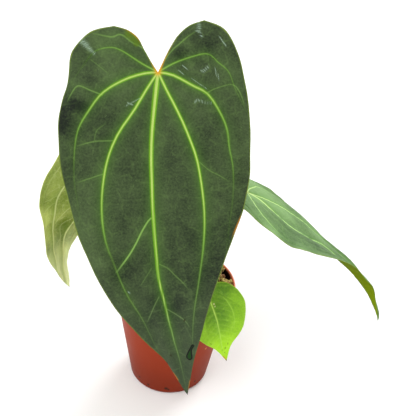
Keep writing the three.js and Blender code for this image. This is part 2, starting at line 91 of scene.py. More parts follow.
# Stem, roots, stalks and dry sheaths
CROWN_RADIUS = 9
CROWN_TOP = 84
STEM_FOOT = 34
STEM_RADIUS = 6
ROOT_RADIUS = 2
ROOTS = (
    ((6, 3, 72), (15, 9, 66), (24, 12, 52), (27, 8, 34), (22, 2, 16)),
    ((-6, 4, 70), (-17, 10, 62), (-25, 14, 46), (-24, 16, 26)),
    ((2, -6, 66), (6, -17, 60), (9, -26, 44), (4, -26, 24), (-4, -20, 12)),
    ((-3, -5, 52), (-14, -10, 42), (-21, -14, 26), (-16, -16, 12)),
    ((3, 5, 46), (8, 14, 36), (10, 21, 22), (4, 22, 10)),
    ((8, 2, 79), (16, 5, 84.5), (23, 8, 82.5), (28, 10, 74), (29, 11, 60)),
)
STALK_BASE_RADIUS = 2.8
STALK_RADIUS = 2
KNEE_RADIUS = 2.5
KNEE_LENGTH = 9
STALKS = {
    "front": (
        (-4.7, -0.6, 84.5), (-4.8, 0, 92), (-7, 5, 120), (-11, 9, 160), (-16, 7, 210),
        (-18, 1, 234),
    ),
    "right": ((3.4, 3.2, 84.5), (3.8, 3.3, 92), (9, 5, 107), (20, 7, 126), (33, 8, 144)),
    "left": (
        (-2.2, 5.4, 84.5), (-2.6, 5.8, 92), (-10, 11, 111), (-24, 20, 138), (-41, 29, 162),
    ),
    "young": ((3.4, -3.4, 84.5), (3.8, -4.2, 90), (8, -12, 99), (15, -22, 105)),
}
SHEATH_HEIGHT = 34
SHEATH_THICKNESS = 0.8
SHEATH_WRAP = 80
SHEATH_SIDES = (84, 175, 258)
SHEATH_GAP = 0.35

# Blades: the flat outline and main veins of a grown blade, (across, along) from the point
# where the stalk joins it. Each half has its margin from the top of the lobe to the tip,
# the places on it where a vein ends, and the veins: sinus edge, lobe, outer and inner.
GROWN = {
    "length": 207,
    "lobe": 32,
    "half_width": 58,
    "left": {
        "margin": (
            (-27, -23.3), (-41, -18.5), (-51, -7.3), (-52, 7), (-55, 22), (-56.5, 38),
            (-54.5, 55), (-50, 76), (-44.6, 101.3), (-33, 129.5), (-19, 156), (-8, 176),
            (-3.5, 191), (0, 207),
        ),
        "ends": (0, 4, 8, 11, 13),
        "veins": (
            ((0, 0), (-4, -5), (-9, -12), (-13, -18), (-19, -21.8), (-27, -23.3)),
            (
                (0, 0), (-10, -4), (-22, -10), (-29, -11), (-37, -8), (-43, 0), (-48, 8),
                (-55, 22),
            ),
            (
                (0, 0), (-9, 2), (-20, 7), (-31, 15), (-38, 25), (-44, 36), (-46, 50),
                (-46, 65), (-44, 80), (-44.6, 101.3),
            ),
            (
                (0, 0), (-6, 11), (-12, 23), (-21, 38), (-27, 55), (-30, 78), (-29, 98),
                (-25, 113), (-21, 129), (-14, 148), (-8, 176),
            ),
        ),
    },
    "right": {
        "margin": (
            (24, -31.6), (36.6, -27.6), (47, -13.5), (51.6, 1), (56, 22), (58, 42), (58, 62),
            (54, 84), (43, 112), (32, 140), (21, 165), (11, 184), (5, 197), (0, 207),
        ),
        "ends": (0, 4, 8, 11, 13),
        "veins": (
            ((0, 0), (3, -8), (6, -15), (10, -22), (16, -28), (24, -31.6)),
            (
                (0, 0), (9, -6), (20, -11), (28, -13), (34, -9), (41, -4), (46, 6),
                (56, 22),
            ),
            (
                (0, 0), (9, 1), (21, 6), (30, 10), (38, 20), (43, 30), (45, 41), (48, 55),
                (48, 76), (43, 112),
            ),
            (
                (0, 0), (6, 10), (13, 21), (20, 34), (27, 52), (31, 79), (30, 103),
                (25, 128), (19, 149), (14, 169), (11, 184),
            ),
        ),
    },
    "midrib": (
        (0, 0), (-0.3, 12), (-0.9, 41), (0.1, 71), (0.7, 104), (0.5, 124), (1.9, 143),
        (2.3, 172), (2, 186), (0, 207),
    ),
    # Strengths and half widths in millimetres at even steps along the main veins: lobe (1),
    # outer (2), inner (3) and midrib (4)
    "strengths": {
        "left": {
            1: (0.55, 0.4, 0.3, 0.2, 0.06, 0.03, 0), 2: (0.9, 0.85, 0.6, 0.28, 0.08, 0.03, 0.02),
            3: (0.95, 0.9, 0.85, 0.75, 0.5, 0.1, 0.24, 0.12, 0),
            4: (1, 1, 1, 0.95, 0.9, 0.8, 0.5, 0.16, 0),
        },
        "right": {
            1: (0.5, 0.4, 0.3, 0.25, 0.15, 0.06, 0.02), 2: (0.9, 0.75, 0.5, 0.3, 0.1, 0.06, 0.05),
            3: (0.95, 0.95, 0.95, 0.85, 0.6, 0.28, 0.2, 0.12, 0),
            4: (1, 1, 1, 0.95, 0.9, 0.8, 0.5, 0.16, 0),
        },
    },
    "widths": {
        1: (0.4, 0.34, 0.3, 0.24, 0.2), 2: (0.6, 0.55, 0.42, 0.32, 0.26, 0.22),
        3: (0.56, 0.52, 0.48, 0.42, 0.34, 0.28), 4: (1, 0.76, 0.66, 0.58, 0.48, 0.36, 0.24),
    },
    # Smaller veins: points, strength and half width
    "branches": (
        (((-2, -2), (-6, -8), (-9, -12), (-13, -14), (-16, -15), (-23, -19), (-28, -17),
          (-39, -18)), 0.45, 0.3),
        (((0, -2), (3, -7), (7, -13), (11, -17), (16, -22), (20, -25)), 0.4, 0.3),
        (((-31, 16), (-38, 14), (-45, 12), (-48, 15), (-51, 21)), 0.45, 0.28),
        (((30, 9), (35, 6), (44, 3), (49, 8), (52, 15)), 0.35, 0.25),
        (((-23, 41), (-34, 42), (-44, 45)), 0.35, 0.25),
        (((-34, 41), (-33, 36), (-28, 32)), 0.2, 0.22),
        (((-29, 60), (-35, 62), (-41, 64), (-44, 65)), 0.32, 0.25),
        (((28, 51), (34, 56), (40, 59), (46, 63)), 0.3, 0.25),
        (((-1, 86), (-3, 88), (-7, 94), (-11, 101), (-16, 108), (-24.2, 117)), 0.95, 0.34),
        (((2, 115), (7, 118), (11, 123), (15, 128), (18, 133)), 0.3, 0.25),
        (((-1, 136), (-4, 140), (-8, 146), (-11, 151)), 0.3, 0.25),
        (((3, 145), (12, 154), (14, 159)), 0.3, 0.25),
        (((-3, 117), (-11, 127)), 0.2, 0.22),
        (((-39, -3), (-28, 4)), 0.2, 0.22),
    ),
}


def mirrored(points):
    return tuple((-across, along) for across, along in points)


# The young blade is a plain heart, alike on both sides.
YOUNG_HALF = {
    "margin": (
        (8, -2.2), (13.5, -0.5), (18.5, 4), (22.3, 9.8), (23.7, 15), (22.6, 21), (20, 27),
        (16.5, 32.3), (11.5, 36.3), (7.5, 39.3), (4.3, 43.5), (2, 48), (0, 52),
    ),
    "ends": (0, 2, 5, 9, 12),
    "veins": (
        ((0, 0), (3, -1.5), (8, -2.2)),
        ((0, 0), (6, 0), (13, 2), (18.5, 4)),
        ((0, 0), (6, 4), (12, 10), (17.5, 16), (22.6, 21)),
        ((0, 0), (4, 8), (8, 18), (9, 29), (7.5, 39.3)),
    ),
}
YOUNG_LATERALS = range(5, 44, 4)
YOUNG_STRENGTHS = {1: (0.1,), 2: (0.12, 0.1, 0.05), 3: (0.2,), 4: (0.9, 0.9, 0.6, 0.4, 0)}
YOUNG = {
    "length": 52,
    "lobe": 4,
    "half_width": 23,
    "left": {
        "margin": mirrored(YOUNG_HALF["margin"]),
        "ends": YOUNG_HALF["ends"],
        "veins": tuple(mirrored(vein) for vein in YOUNG_HALF["veins"]),
    },
    "right": YOUNG_HALF,
    "midrib": ((0, 0), (-0.3, 7), (0.3, 21), (-0.2, 30), (-0.8, 41), (0, 52)),
    "strengths": {
        "left": {**YOUNG_STRENGTHS, 3: (0.2, 0.2, 0.05)},
        "right": {**YOUNG_STRENGTHS, 3: (0.1, 0.35, 0.3)},
    },
    "widths": {
        1: (0.3, 0.2), 2: (0.35, 0.2), 3: (0.3, 0.4, 0.3), 4: (0.6, 0.5, 0.42, 0.34, 0.2),
    },
    "branches": tuple(
        (((0, along), (side * 6, along + 3), (side * 13, along + 8)), 0.16, 0.4)
        for along in YOUNG_LATERALS
        for side in (-1, 1)
    ),
}

# Veins that the other blades have in their own places
RIGHT_MIDRIB = (
    (0, 0), (3, 8), (3, 20), (0, 31), (-6, 46), (-7, 63), (0, 80), (8, 96), (5, 130), (0, 207),
)
LEFT_MIDRIB = (
    (0, 0), (-8, 50), (-12, 90), (-8, 109), (1, 118), (4, 126), (5, 133), (3, 149), (3, 166),
    (1, 207),
)
LEFT_INNER = (
    (0, 0), (8, 12), (16, 28), (22, 44), (25, 58), (29, 80), (28, 92), (26, 111), (23, 127),
    (21, 139), (17, 151), (14, 170), (8, 188),
)
LEFT_BRANCHES = (
    (((-6, 80), (7, 89), (15, 98), (21, 106), (26, 112)), 0.55, 0.3),
    (((-4, 104), (5, 108), (12, 112), (13, 117), (11, 126), (9, 138)), 0.4, 0.3),
    (((30, 82), (38, 88), (44, 98)), 0.3, 0.3),
    (((27, 104), (35, 109), (41, 118)), 0.3, 0.3),
    (((23, 126), (30, 130), (35, 138)), 0.3, 0.3),
    (((25, 60), (36, 66), (46, 74)), 0.3, 0.3),
    (((5, 134), (-4, 142), (-10, 152)), 0.35, 0.3),
)
YOUNG_ARC = ((0, 0), (5, 6), (8.6, 8.6), (11, 13), (12.6, 19), (12.2, 26), (9, 33))

# How each blade hangs, in degrees. faces is the compass side that its upper face looks to
# (0 is -Y, 90 is +X), tilt the lift of that look above level and turn the swing of the
# blade in its own plane. droop, sway and twist are totals over the length if held all the
# way. fold lifts the left and the right half at the midrib, and arch bends each half back
# down to the edge. lines are veins of the blade's own, with their strengths. ripple, quilt
# and rolling are heights in millimetres. lifts raise the margin round a place on it, and
# pulls draw it in towards the stalk by a share: each has the place (0 to 8 round the
# margin), its spread and how much. columns is for one of the eight sectors, and under_step
# is how many columns and rows one of the under face spans.
BLADES = {
    "front": {
        "form": GROWN, "scale": 1, "widen": 1, "joins": (-17, -12, 244),
        "faces": 2, "tilt": 27, "turn": -1, "droop": (24, 14, 10, 10),
        "sway": (6, 20, 27, 33, 20), "twist": (0,), "lobe_droop": -14,
        "fold": ((8,), (8,)), "arch": ((18,), (18,)),
        "pulls": (
            (0.42, 0.16, 0.022), (0.85, 0.08, 0.012), (1.32, 0.15, 0.016), (2.05, 0.2, 0.012),
            (5.95, 0.25, -0.007), (6.55, 0.2, -0.008), (7.4, 0.2, 0.016),
        ),
        "ripple": 1.1, "ripples": 7, "quilt": 0.55, "rolling": 0.5,
        "columns": 30, "rows": 280, "under_step": 2,
    },
    "right": {
        "form": GROWN, "scale": 0.73, "widen": 0.78, "joins": (45.3, 9, 159.2),
        "faces": 89, "tilt": 59, "turn": -3, "droop": (32, -16, 34, 77, 92),
        "sway": (10, 2, 0), "twist": (34, -16, -21, 36, -28), "lobe_droop": 50,
        "fold": ((12, 10, 28, 47, 55), (11, 6, -1, 7, 50)),
        "arch": ((20, 12, 8, 5), (40, 15, 10, 5)),
        "lines": {
            ("left", 3): (GROWN["left"]["veins"][3], (0.1, 0.05)),
            ("left", 4): (RIGHT_MIDRIB, (1, 1, 0.9, 0.7, 0.5, 0.2, 0)),
            ("right", 4): (RIGHT_MIDRIB, (1, 1, 0.9, 0.7, 0.5, 0.2, 0)),
            ("right", 3): (GROWN["right"]["veins"][3], (1, 1, 0.95, 0.9, 0.8, 0.6, 0.4, 0.2, 0)),
        },
        "lifts": (
            (6.93, 0.1, 1.2), (7.25, 0.14, -1.8), (6.5, 0.15, -2), (1.1, 0.28, 1.7),
            (1.74, 0.12, -0.8), (2.45, 0.2, -1.9),
        ),
        "ripple": 0.5, "ripples": 6, "quilt": 0.5, "rolling": 0.3,
        "columns": 20, "rows": 200, "under_step": 1,
    },
    "left": {
        "form": GROWN, "scale": 0.7, "widen": 0.84, "joins": (-56, 34.5, 174),
        "faces": 227, "tilt": 24, "turn": 15, "droop": (21, 20, 46, 33),
        "sway": (5, -19, -62), "twist": (2, -31, -5), "lobe_droop": -10,
        "fold": ((10, 10, 12, 37), (17, 25, 10, 24)), "arch": ((15,), (15,)),
        "lines": {
            ("right", 3): (LEFT_INNER, (0.5, 0.6, 0.8, 0.8, 0.7, 0.5)),
            ("left", 4): (LEFT_MIDRIB, (1, 0.9, 0.9, 0.8, 0.6)),
            ("right", 4): (LEFT_MIDRIB, (1, 0.9, 0.9, 0.8, 0.6)),
        },
        "branches": LEFT_BRANCHES,
        "pulls": ((6, 0.22, 0.05), (6.6, 0.3, 0.03), (5.2, 0.15, 0.015)),
        "lifts": ((6.85, 0.25, -0.9), (6.2, 0.12, 0.8), (2.85, 0.15, -0.7)),
        "ripple": 0.9, "ripples": 6, "quilt": 1.1, "rolling": 0.7,
        "columns": 20, "rows": 200, "under_step": 1,
    },
    "young": {
        "form": YOUNG, "scale": 0.99, "widen": 1, "joins": (24, -34, 106.8),
        "faces": 22, "tilt": 38, "turn": 10, "droop": (10, 15, 20, 20),
        "sway": (0,), "twist": (0,), "lobe_droop": -5,
        "fold": ((8,), (8,)), "arch": ((12,), (12,)),
        "lines": {("right", 3): (YOUNG_ARC, (0.02, 0.12, 0.35, 0.25, 0.02))},
        "pulls": ((2.4, 0.3, 0.065), (6.6, 0.3, 0.045), (5.3, 0.35, -0.02)),
        "ripple": 0.5, "ripples": 5, "quilt": 1.2, "rolling": 0.35,
        "columns": 16, "rows": 120, "under_step": 2,
    },
}
CAD_BLADE_THICKNESS = 0.8
CAD_RIB_HEIGHT = 0.7
CAD_STALK_GAP = 0.35
BLADE_THICKNESS = 0.55
EDGE_THICKNESS = 0.35
SPINE_STEP = 1

# Millimetres in one unit of the flat map, and the half width at which the blades' material
# draws the smaller veins: their offsets are scaled to it.
FLAT_UNIT = 100
BRANCH_HALF_WIDTH = 0.28

# Marks on the flat blades. The spots of light, shade and tone are places, how far they reach and
# how much lighter (or darker) they are: mostly painted light and shade, such as a painted highlight
# on the right blade and painted shade where a blade turns from the light, with some of the blades'
# own lighter and darker patches. scuffs are pale lines and warm are orange stretches of the margin,
# each with its half width. wet is a line of places with its half width at each. dark, pale and
# olive are spots with their radii. sinus_left and sinus_right say how far the orange of the sinus
# edge shows at even steps from the stalk to the top of the lobe.
MARKS = {
    "front": {
        "light_shade_and_tone": (
            ((48, 100), 22, -0.25), ((30, 128), 20, -0.25), ((-55, 32), 11, -0.55),
            ((7, 145), 14, -0.3), ((28, -19), 9, -0.35), ((-30, 4), 20, 0.15),
            ((-27, -18), 6, 0.35), ((-47, 22), 3, -0.5), ((-42, 23), 3.4, -0.6),
            ((-46, 88), 14, 0.15), ((-36, -14), 6, 0.5), ((-26, -5), 8, 0.2),
            ((22, -30), 5, 0.25), ((-34, 111), 8, 0.4), ((-18, 115), 14, -0.2),
            ((-38, 8), 7, -0.2), ((-31, 22), 9, -0.3), ((11.5, -11), 5, -0.5),
            ((18, 10), 8, 0.25), ((0, 8), 7, 0.5), ((53, 20), 10, 0.15),
        ),
        "scuffs": (
            ((-45, -13), (-42, -11), 1.1), ((-43, -11), (-39.5, -8.6), 0.8),
            ((-40, -9), (-37, -6.5), 0.45), ((21, -30), (21.3, -25.5), 0.5),
            ((22, -28), (20.5, -25), 0.35), ((21, -26), (22, -24.5), 0.5),
            ((23.5, -23.5), (23, -22), 0.4), ((34, -23), (36, -20.5), 0.3),
            ((36, -20), (40, -18), 0.22), ((14, -5), (17, -3), 0.22), ((12, -2), (15, 0), 0.22),
            ((26, -2.5), (29, -6), 0.4), ((25, -3), (27, -3.4), 0.35), ((33, -5), (34, -1), 0.22),
            ((35, -2), (35.5, 1), 0.22), ((20, 2), (29, 7), 0.14), ((23, 15.5), (24, 14), 0.35),
            ((24, 14), (27, 14.6), 0.3), ((27, 15), (33, 15.2), 0.16),
            ((-17, 21), (-9, 16), 0.2), ((-16, 19), (-13, 20), 0.25),
            ((-19, 130), (-18.5, 130.5), 0.4),
        ),
        "wet": ((9.2, 179.8, 2.1), (10, 177.5, 1.5), (11.3, 174.8, 0.8), (13.4, 172.2, 1)),
        "dark": (
            ((12, 154), 0.6), ((-2, 176), 0.5), ((9, 166), 0.3), ((-5.9, 181.5), 0.7),
            ((-11.6, 170), 0.6),
        ),
        "olive": (((-18.5, -19.5), 2), ((-15.5, -18), 2.4), ((-13.5, -15), 1.8)),
        "warm": (
            ((-4, 189), (-2.6, 194), 0.4), ((4.6, 198), (1.8, 204), 0.5),
            ((53, 87), (48.5, 98), 0.5),
        ),
        "sinus_left": (1, 0.6, 0.15, 0, 0, 0.1, 0.6, 0.8, 0.2, 0, 0),
        "sinus_right": (1, 1, 0.7, 0.35, 0.15, 0.05, 0, 0, 0, 0, 0),
    },
    "right": {
        # The wide bright spot near the stalk is a painted highlight of the glossy face.
        "light_shade_and_tone": (
            ((16, 8), 15, 0.95), ((16, 42), 12, 0.4), ((30, 90), 14, 0.3), ((-9, 17), 8, -0.1),
            ((-26, 46), 16, -0.15), ((-51, 28), 8, 0.3), ((-50, 60), 6, 0.25),
            ((-20, 84), 14, -0.25), ((22, 110), 14, -0.15),
        ),
    },
    "left": {
        "light_shade_and_tone": (
            ((-12, 136), 7, -0.6), ((9, 112), 9, -0.6), ((10, 131), 6, -0.5), ((-1, 150), 5, 0.6),
            ((38, 104), 7, 0.5), ((34, 68), 9, 0.15), ((46, 82), 6, -0.4), ((29, 140), 5, -0.5),
            ((18, 78), 10, -0.25), ((16, 102), 5, 0.25), ((33, 122), 6, 0.3), ((48, 96), 9, 0.35),
        ),
        "dark": (((0, 206), 0.6),),
    },
    "young": {
        "light_shade_and_tone": (
            ((14, 0), 12, -0.1), ((0, 44), 12, 0.4), ((-14, 26), 9, 0.4), ((16, 26), 9, 0.15),
            ((3, 20), 10, -0.35), ((9, 3), 5, -0.2), ((19, 12), 6, 0.15), ((-6, 40), 6, 0.2),
        ),
        "dark": (
            ((3.5, 40), 0.35), ((1, 42.5), 0.35), ((-1.5, 43), 0.25), ((0, 45.5), 0.3),
            ((-8, 36), 0.22), ((0, 51.8), 0.8),
        ),
        "pale": (((1.3, 11), 0.5), ((1.5, 12.8), 0.4)),
        "warm": (((-2, 48), (0, 52), 0.8),),
        "sinus_left": (0,),
        "sinus_right": (0,),
    },
}
NO_MARKS = {
    "light_shade_and_tone": (), "scuffs": (), "wet": (), "dark": (), "pale": (), "olive": (), "warm": (),
    "sinus_left": (0.15, 0.05, 0), "sinus_right": (0.15, 0.05, 0),
}

# Dirt on the pot, and a painted shadow on the inner wall beside the dark hollow: where each is and
# its radius
POT_SPECKS = (
    ((-20.8, -24.0, 8.4), 0.9), ((-13.3, -28.4, 5.6), 1), ((0.7, -31.5, 6.5), 1.3),
    ((2.6, -31.3, 5.2), 0.9), ((22, -22.6, 8), 0.8),
)
POT_PALE_SPECK = ((27.6, -24.9, 44.8), 0.8)
# Painted shadow on the inner wall of the rim, where the dark hollow lies against it.
RIM_SHADOW = ((38.5, 19.5, 79.5), 5.5)

# Camera
CAMERA_PLACE = (0.01935, -0.3502, 0.3556)
CAMERA_PITCH = 30.54
CAMERA_ROLL = 5.42
CAMERA_LENS = 51.92
SENSOR_WIDTH = 36

# Floor and lights. The turns are degrees about X, Y and Z from straight down.
FLOOR_REACH = 12000
SUN_ENERGY = 4
SUN_SPREAD = 35
KEY_TURNS = (32, -24, 0)
BACK_TURNS = (60, 0, 150)


def srgb(*colour):
    """Linear colour of a screen colour given in steps of 0 to 255."""
    shares = np.array(colour) / 255
    return tuple(np.where(shares > 0.04045, ((shares + 0.055) / 1.055) ** 2.4, shares / 12.92))


# Colours of small marks
MARK_COLOURS = {
    "haze": srgb(162, 66, 40),
    "pale speck": srgb(222, 140, 92),
    "fleck": srgb(190, 196, 140),
    "stain": srgb(70, 46, 30),
    "olive": srgb(84, 112, 14),
    "warm": srgb(186, 118, 36),
    "sinus": srgb(210, 148, 22),
    "scuff": srgb(166, 192, 168),
    "wet": srgb(4, 10, 3),
    "wet middle": srgb(26, 72, 14),
    "dark": srgb(44, 40, 20),
    "pale": srgb(236, 232, 160),
}


def size_property(name, description, default):
    return bpy.props.FloatProperty(
        name=name, description=description, default=default, min=0,
        unit="LENGTH", subtype="DISTANCE",
    )


def share_property(name, description, default):
    return bpy.props.FloatProperty(
        name=name, description=description, default=default, min=0, max=1, subtype="FACTOR",
    )


def count_property(name, description, default):
    return bpy.props.IntProperty(name=name, description=description, default=default, min=0)


def colour_property(name, description, default):
    return bpy.props.FloatVectorProperty(
        name=name, description=description, default=srgb(*default), size=3, min=0, max=1,
        subtype="COLOR",
    )


class PotSettings(bpy.types.PropertyGroup):
    """Sizes and colours of the pot."""

    height: size_property("Height", "From the foot to the rim", POT_HIGH.z)
    rim_radius: size_property("Rim radius", "Outer radius at the top", POT_HIGH.x)
    rim_band: size_property("Rim band", "Height of the wider band", 9 * MM)
    body_top_radius: size_property("Body radius", "Outer radius under the band", 41.7 * MM)
    base_radius: size_property("Base radius", "Outer radius of the foot", 30.5 * MM)
    wall: size_property("Wall", "Thickness of the plastic", 1.2 * MM)
    colour: colour_property("Plastic", "Outer colour", (147, 53, 26))
    # Colour of the plastic's random grain, and of the painted shade that darkens the wall towards
    # the foot.
    grain_and_foot_shade_colour: colour_property("Low plastic", "Outer colour near the foot", (112, 37, 17))
    # Inner wall of the rim: a painted glow of light coming through the thin plastic.
    inner_glow_colour: colour_property("Inner plastic", "Colour inside the rim", (236, 112, 84))
    lip_colour: colour_property("Lip", "Lip, where light comes through", (255, 150, 122))
    # Colour of the specks of dirt, and of the painted shadow inside the rim.
    dirt_and_shade_colour: colour_property("Dirt", "Specks of dried substrate", (52, 30, 20))
    roughness: share_property("Roughness", "Roughness of the plastic", 0.42)


class SubstrateSettings(bpy.types.PropertyGroup):
    """Sizes and colours of the potting mix."""

    level: size_property("Level", "Height of the surface at the wall", 78.5 * MM)
    mound: size_property("Mound", "Rise towards the stem", 0.8 * MM)
    bark_pieces: count_property("Small bark", "Number of small bark pieces", 170)
    moss_strands: count_property("Moss", "Number of moss and fibre strands", 2300)
    soil_colour: colour_property("Soil", "Fine mix between the pieces", (62, 42, 28))
    hollow_colour: colour_property("Hollow", "Shade in the gaps", (18, 10, 10))
    bark_colour: colour_property("Bark", "Brighter bark", (150, 98, 58))
    dark_bark_colour: colour_property("Dark bark", "Darker bark", (70, 42, 28))
    moss_colour: colour_property("Moss", "Dry moss", (255, 228, 146))
    dark_moss_colour: colour_property("Dark moss", "Old moss and fibre", (116, 74, 32))


class StemSettings(bpy.types.PropertyGroup):
    """Colours of the stem, roots, stalks and dry sheaths."""

    crown_colour: colour_property("Crown", "Skin of the crown", (124, 128, 72))
    scar_colour: colour_property("Scars", "Rings and scars on the crown", (98, 74, 46))
    root_colour: colour_property("Roots", "Skin of the roots", (178, 160, 112))
    stalk_colour: colour_property("Stalks", "Skin of the leaf stalks", (118, 146, 66))
    stalk_foot_colour: colour_property("Stalk feet", "Skin low on the stalks", (128, 104, 66))
    knee_colour: colour_property("Knees", "Swelling under each blade", (150, 170, 84))
    sheath_colour: colour_property("Sheaths", "Dry papery sheaths", (170, 132, 84))
    dark_sheath_colour: colour_property("Sheath fibres", "Darker fibres", (96, 66, 40))


# Names and notes of a blade's colours and shares, and each blade's own values.
BLADE_COLOURS = {
    "upper": ("Upper face", "Ground of the upper face"),
    "upper_dark": ("Upper shade", "Darker mottling of the upper face"),
    "halo": ("Halo", "Green beside the main veins"),
    "vein_edge": ("Vein edge", "Rim of the main veins"),
    "vein": ("Vein", "Core of the main veins"),
    "under": ("Under face", "Ground of the under face"),
    "under_dark": ("Under shade", "Darker mottling of the under face"),
    "under_vein": ("Under veins", "Veins of the under face"),
    "edge": ("Margin", "Thin line round the margin"),
    "tip": ("Tip", "Upper face towards the tip"),
    "under_tip": ("Under tip", "Under face towards the tip"),
    "tip_vein": ("Tip veins", "Veins of the upper face towards the tip"),
}
BLADE_SHARES = {
    "roughness": ("Roughness", "Roughness of the upper face"),
    "gloss": ("Gloss", "Strength of the mirror reflection"),
    "halo_strength": ("Halo strength", "How clear the halo is"),
    "net": ("Net", "How clear the finest veins are"),
    # The flecks of the blades are painted glints of the velvet surface.
    "flecks": ("Flecks", "How clear the tiny pale flecks are"),
    "mottle": ("Mottle", "How uneven the ground is"),
}
FINISHES = {
    "front": {
        "upper": (78, 97, 58), "upper_dark": (24, 31, 22), "halo": (74, 124, 26),
        "vein_edge": (120, 184, 10), "vein": (176, 202, 104), "under": (128, 150, 84),
        "under_dark": (104, 126, 62), "under_vein": (188, 204, 132), "edge": (124, 144, 54),
        "tip": (60, 70, 55), "under_tip": (128, 150, 84), "tip_vein": (150, 180, 112),
        "roughness": 0.6, "gloss": 0.12, "halo_strength": 0.72, "net": 0.06,
        "flecks": 0.16, "mottle": 0.75,
    },
    "right": {
        # The right blade's pale sage upper face is partly its own lighter green and partly painted
        # sheen of light at a grazing angle.
        "upper": (130, 166, 104), "upper_dark": (30, 62, 20), "halo": (96, 146, 66),
        "vein_edge": (136, 188, 96), "vein": (206, 234, 156), "under": (104, 124, 4),
        "under_dark": (84, 102, 2), "under_vein": (134, 152, 24), "edge": (128, 150, 66),
        "tip": (100, 128, 46), "under_tip": (116, 136, 8), "tip_vein": (140, 178, 106),
        "roughness": 0.5, "gloss": 0.04, "halo_strength": 0.4, "net": 0.14,
        "flecks": 0.0, "mottle": 0.5,
    },
    "left": {
        # The left blade's under face is partly its own pale green and partly painted light: it, its
        # veins and its margin are painted lighter, brightest towards the tip, standing in for light
        # coming through the blade from behind.
        "upper": (96, 128, 66), "upper_dark": (72, 98, 52), "halo": (100, 150, 66),
        "vein_edge": (150, 200, 76), "vein": (204, 232, 136), "under": (196, 212, 112),
        "under_dark": (100, 124, 34), "under_vein": (214, 226, 150), "edge": (214, 226, 130),
        "tip": (140, 170, 80), "under_tip": (240, 255, 190), "tip_vein": (206, 226, 140),
        "roughness": 0.5, "gloss": 0.2, "halo_strength": 0.5, "net": 0.26,
        "flecks": 0.0, "mottle": 0.45,
    },
    "young": {
        "upper": (160, 214, 40), "upper_dark": (74, 122, 34), "halo": (134, 192, 56),
        "vein_edge": (166, 214, 72), "vein": (204, 236, 110), "under": (160, 196, 88),
        "under_dark": (138, 178, 68), "under_vein": (196, 222, 130), "edge": (176, 214, 70),
        "tip": (168, 220, 4), "under_tip": (176, 212, 80), "tip_vein": (190, 234, 90),
        "roughness": 0.36, "gloss": 0.18, "halo_strength": 0.25, "net": 0.18,
        "flecks": 0.0, "mottle": 0.45,
    },
}


def blade_settings(blade):
    """The PropertyGroup of one blade's finish, with that blade's own defaults."""
    finish = FINISHES[blade]
    notes = {
        key: colour_property(*words, finish[key]) for key, words in BLADE_COLOURS.items()
    }
    for key, words in BLADE_SHARES.items():
        notes[key] = share_property(*words, finish[key])
    text = f"Finish of the {blade} blade."
    members = {"__annotations__": notes, "__doc__": text}
    return type(f"{blade.title()}BladeSettings", (bpy.types.PropertyGroup,), members)


FrontBladeSettings = blade_settings("front")
RightBladeSettings = blade_settings("right")
LeftBladeSettings = blade_settings("left")
YoungBladeSettings = blade_settings("young")


class StageSettings(bpy.types.PropertyGroup):
    """Floor and light."""

    floor_colour: colour_property("Floor", "Plain pale floor", (250, 250, 250))
    sky_strength: share_property("Sky", "Strength of the even light from all round", 0.8)
    key_strength: share_property("Key", "Strength of the soft light from above", 0.33)
    back_strength: share_property("Back", "Strength of the soft light from behind", 0.5)


class PlantSettings(bpy.types.PropertyGroup):
    """Everything that a user would change."""

    pot: bpy.props.PointerProperty(type=PotSettings)
    substrate: bpy.props.PointerProperty(type=SubstrateSettings)
    stem: bpy.props.PointerProperty(type=StemSettings)
    front: bpy.props.PointerProperty(type=FrontBladeSettings)
    right: bpy.props.PointerProperty(type=RightBladeSettings)
    left: bpy.props.PointerProperty(type=LeftBladeSettings)
    young: bpy.props.PointerProperty(type=YoungBladeSettings)
    stage: bpy.props.PointerProperty(type=StageSettings)


# Curves and small sums


def unit(vectors):
    return vectors / np.linalg.norm(vectors, axis=-1, keepdims=True)


def ramp(values, share):
    """Value of an evenly spaced list at a share of the way along it."""
    values = np.asarray(values, float)
    return np.interp(share, np.linspace(0, 1, len(values)), values)


def falling(value, low, high):
    """1 below low, 0 above high, and a smooth step between."""
    share = np.clip((value - low) / (high - low), 0, 1)
    return 1 - share * share * (3 - 2 * share)


def cubic(start, end, slope_in, slope_out, u):
    """Cubic from start to end with those slopes, at shares u of the way."""
    cubed = (2 * start - 2 * end + slope_in + slope_out) * u**3
    squared = (3 * end - 3 * start - 2 * slope_in - slope_out) * u**2
    return cubed + squared + slope_in * u + start


def stretch_at(place, count):
    """Number of the stretch between count points that each place from 0 to 1 falls in, and
    the share of the way along that stretch."""
    place = np.clip(np.asarray(place, float), 0, 1) * (count - 1)
    first = np.minimum(place.astype(int), count - 2)
    return first, (place - first)[..., None]


def spline(points, place):
    """Even Catmull-Rom curve at places from 0 to 1 over its points. Each stretch is the cubic
    whose slope at an end is half the step between that end's neighbours."""
    points = np.asarray(points, float)
    first, u = stretch_at(place, len(points))
    start, end = points[first], points[first + 1]
    slope_in = (end - points[np.maximum(first - 1, 0)]) / 2
    slope_out = (points[np.minimum(first + 2, len(points) - 1)] - start) / 2
    return cubic(start, end, slope_in, slope_out, u)


def even_spline(points, share):
    """The same curve at shares of its length."""
    steps = np.linspace(0, 1, 201)
    run = run_along(spline(points, steps))
    return spline(points, np.interp(np.asarray(share) * run[-1], run, steps))


def run_along(track):
    """Length from the start of a track to each of its points."""
    return np.concatenate([[0], np.cumsum(np.linalg.norm(np.diff(track, axis=0), axis=1))])


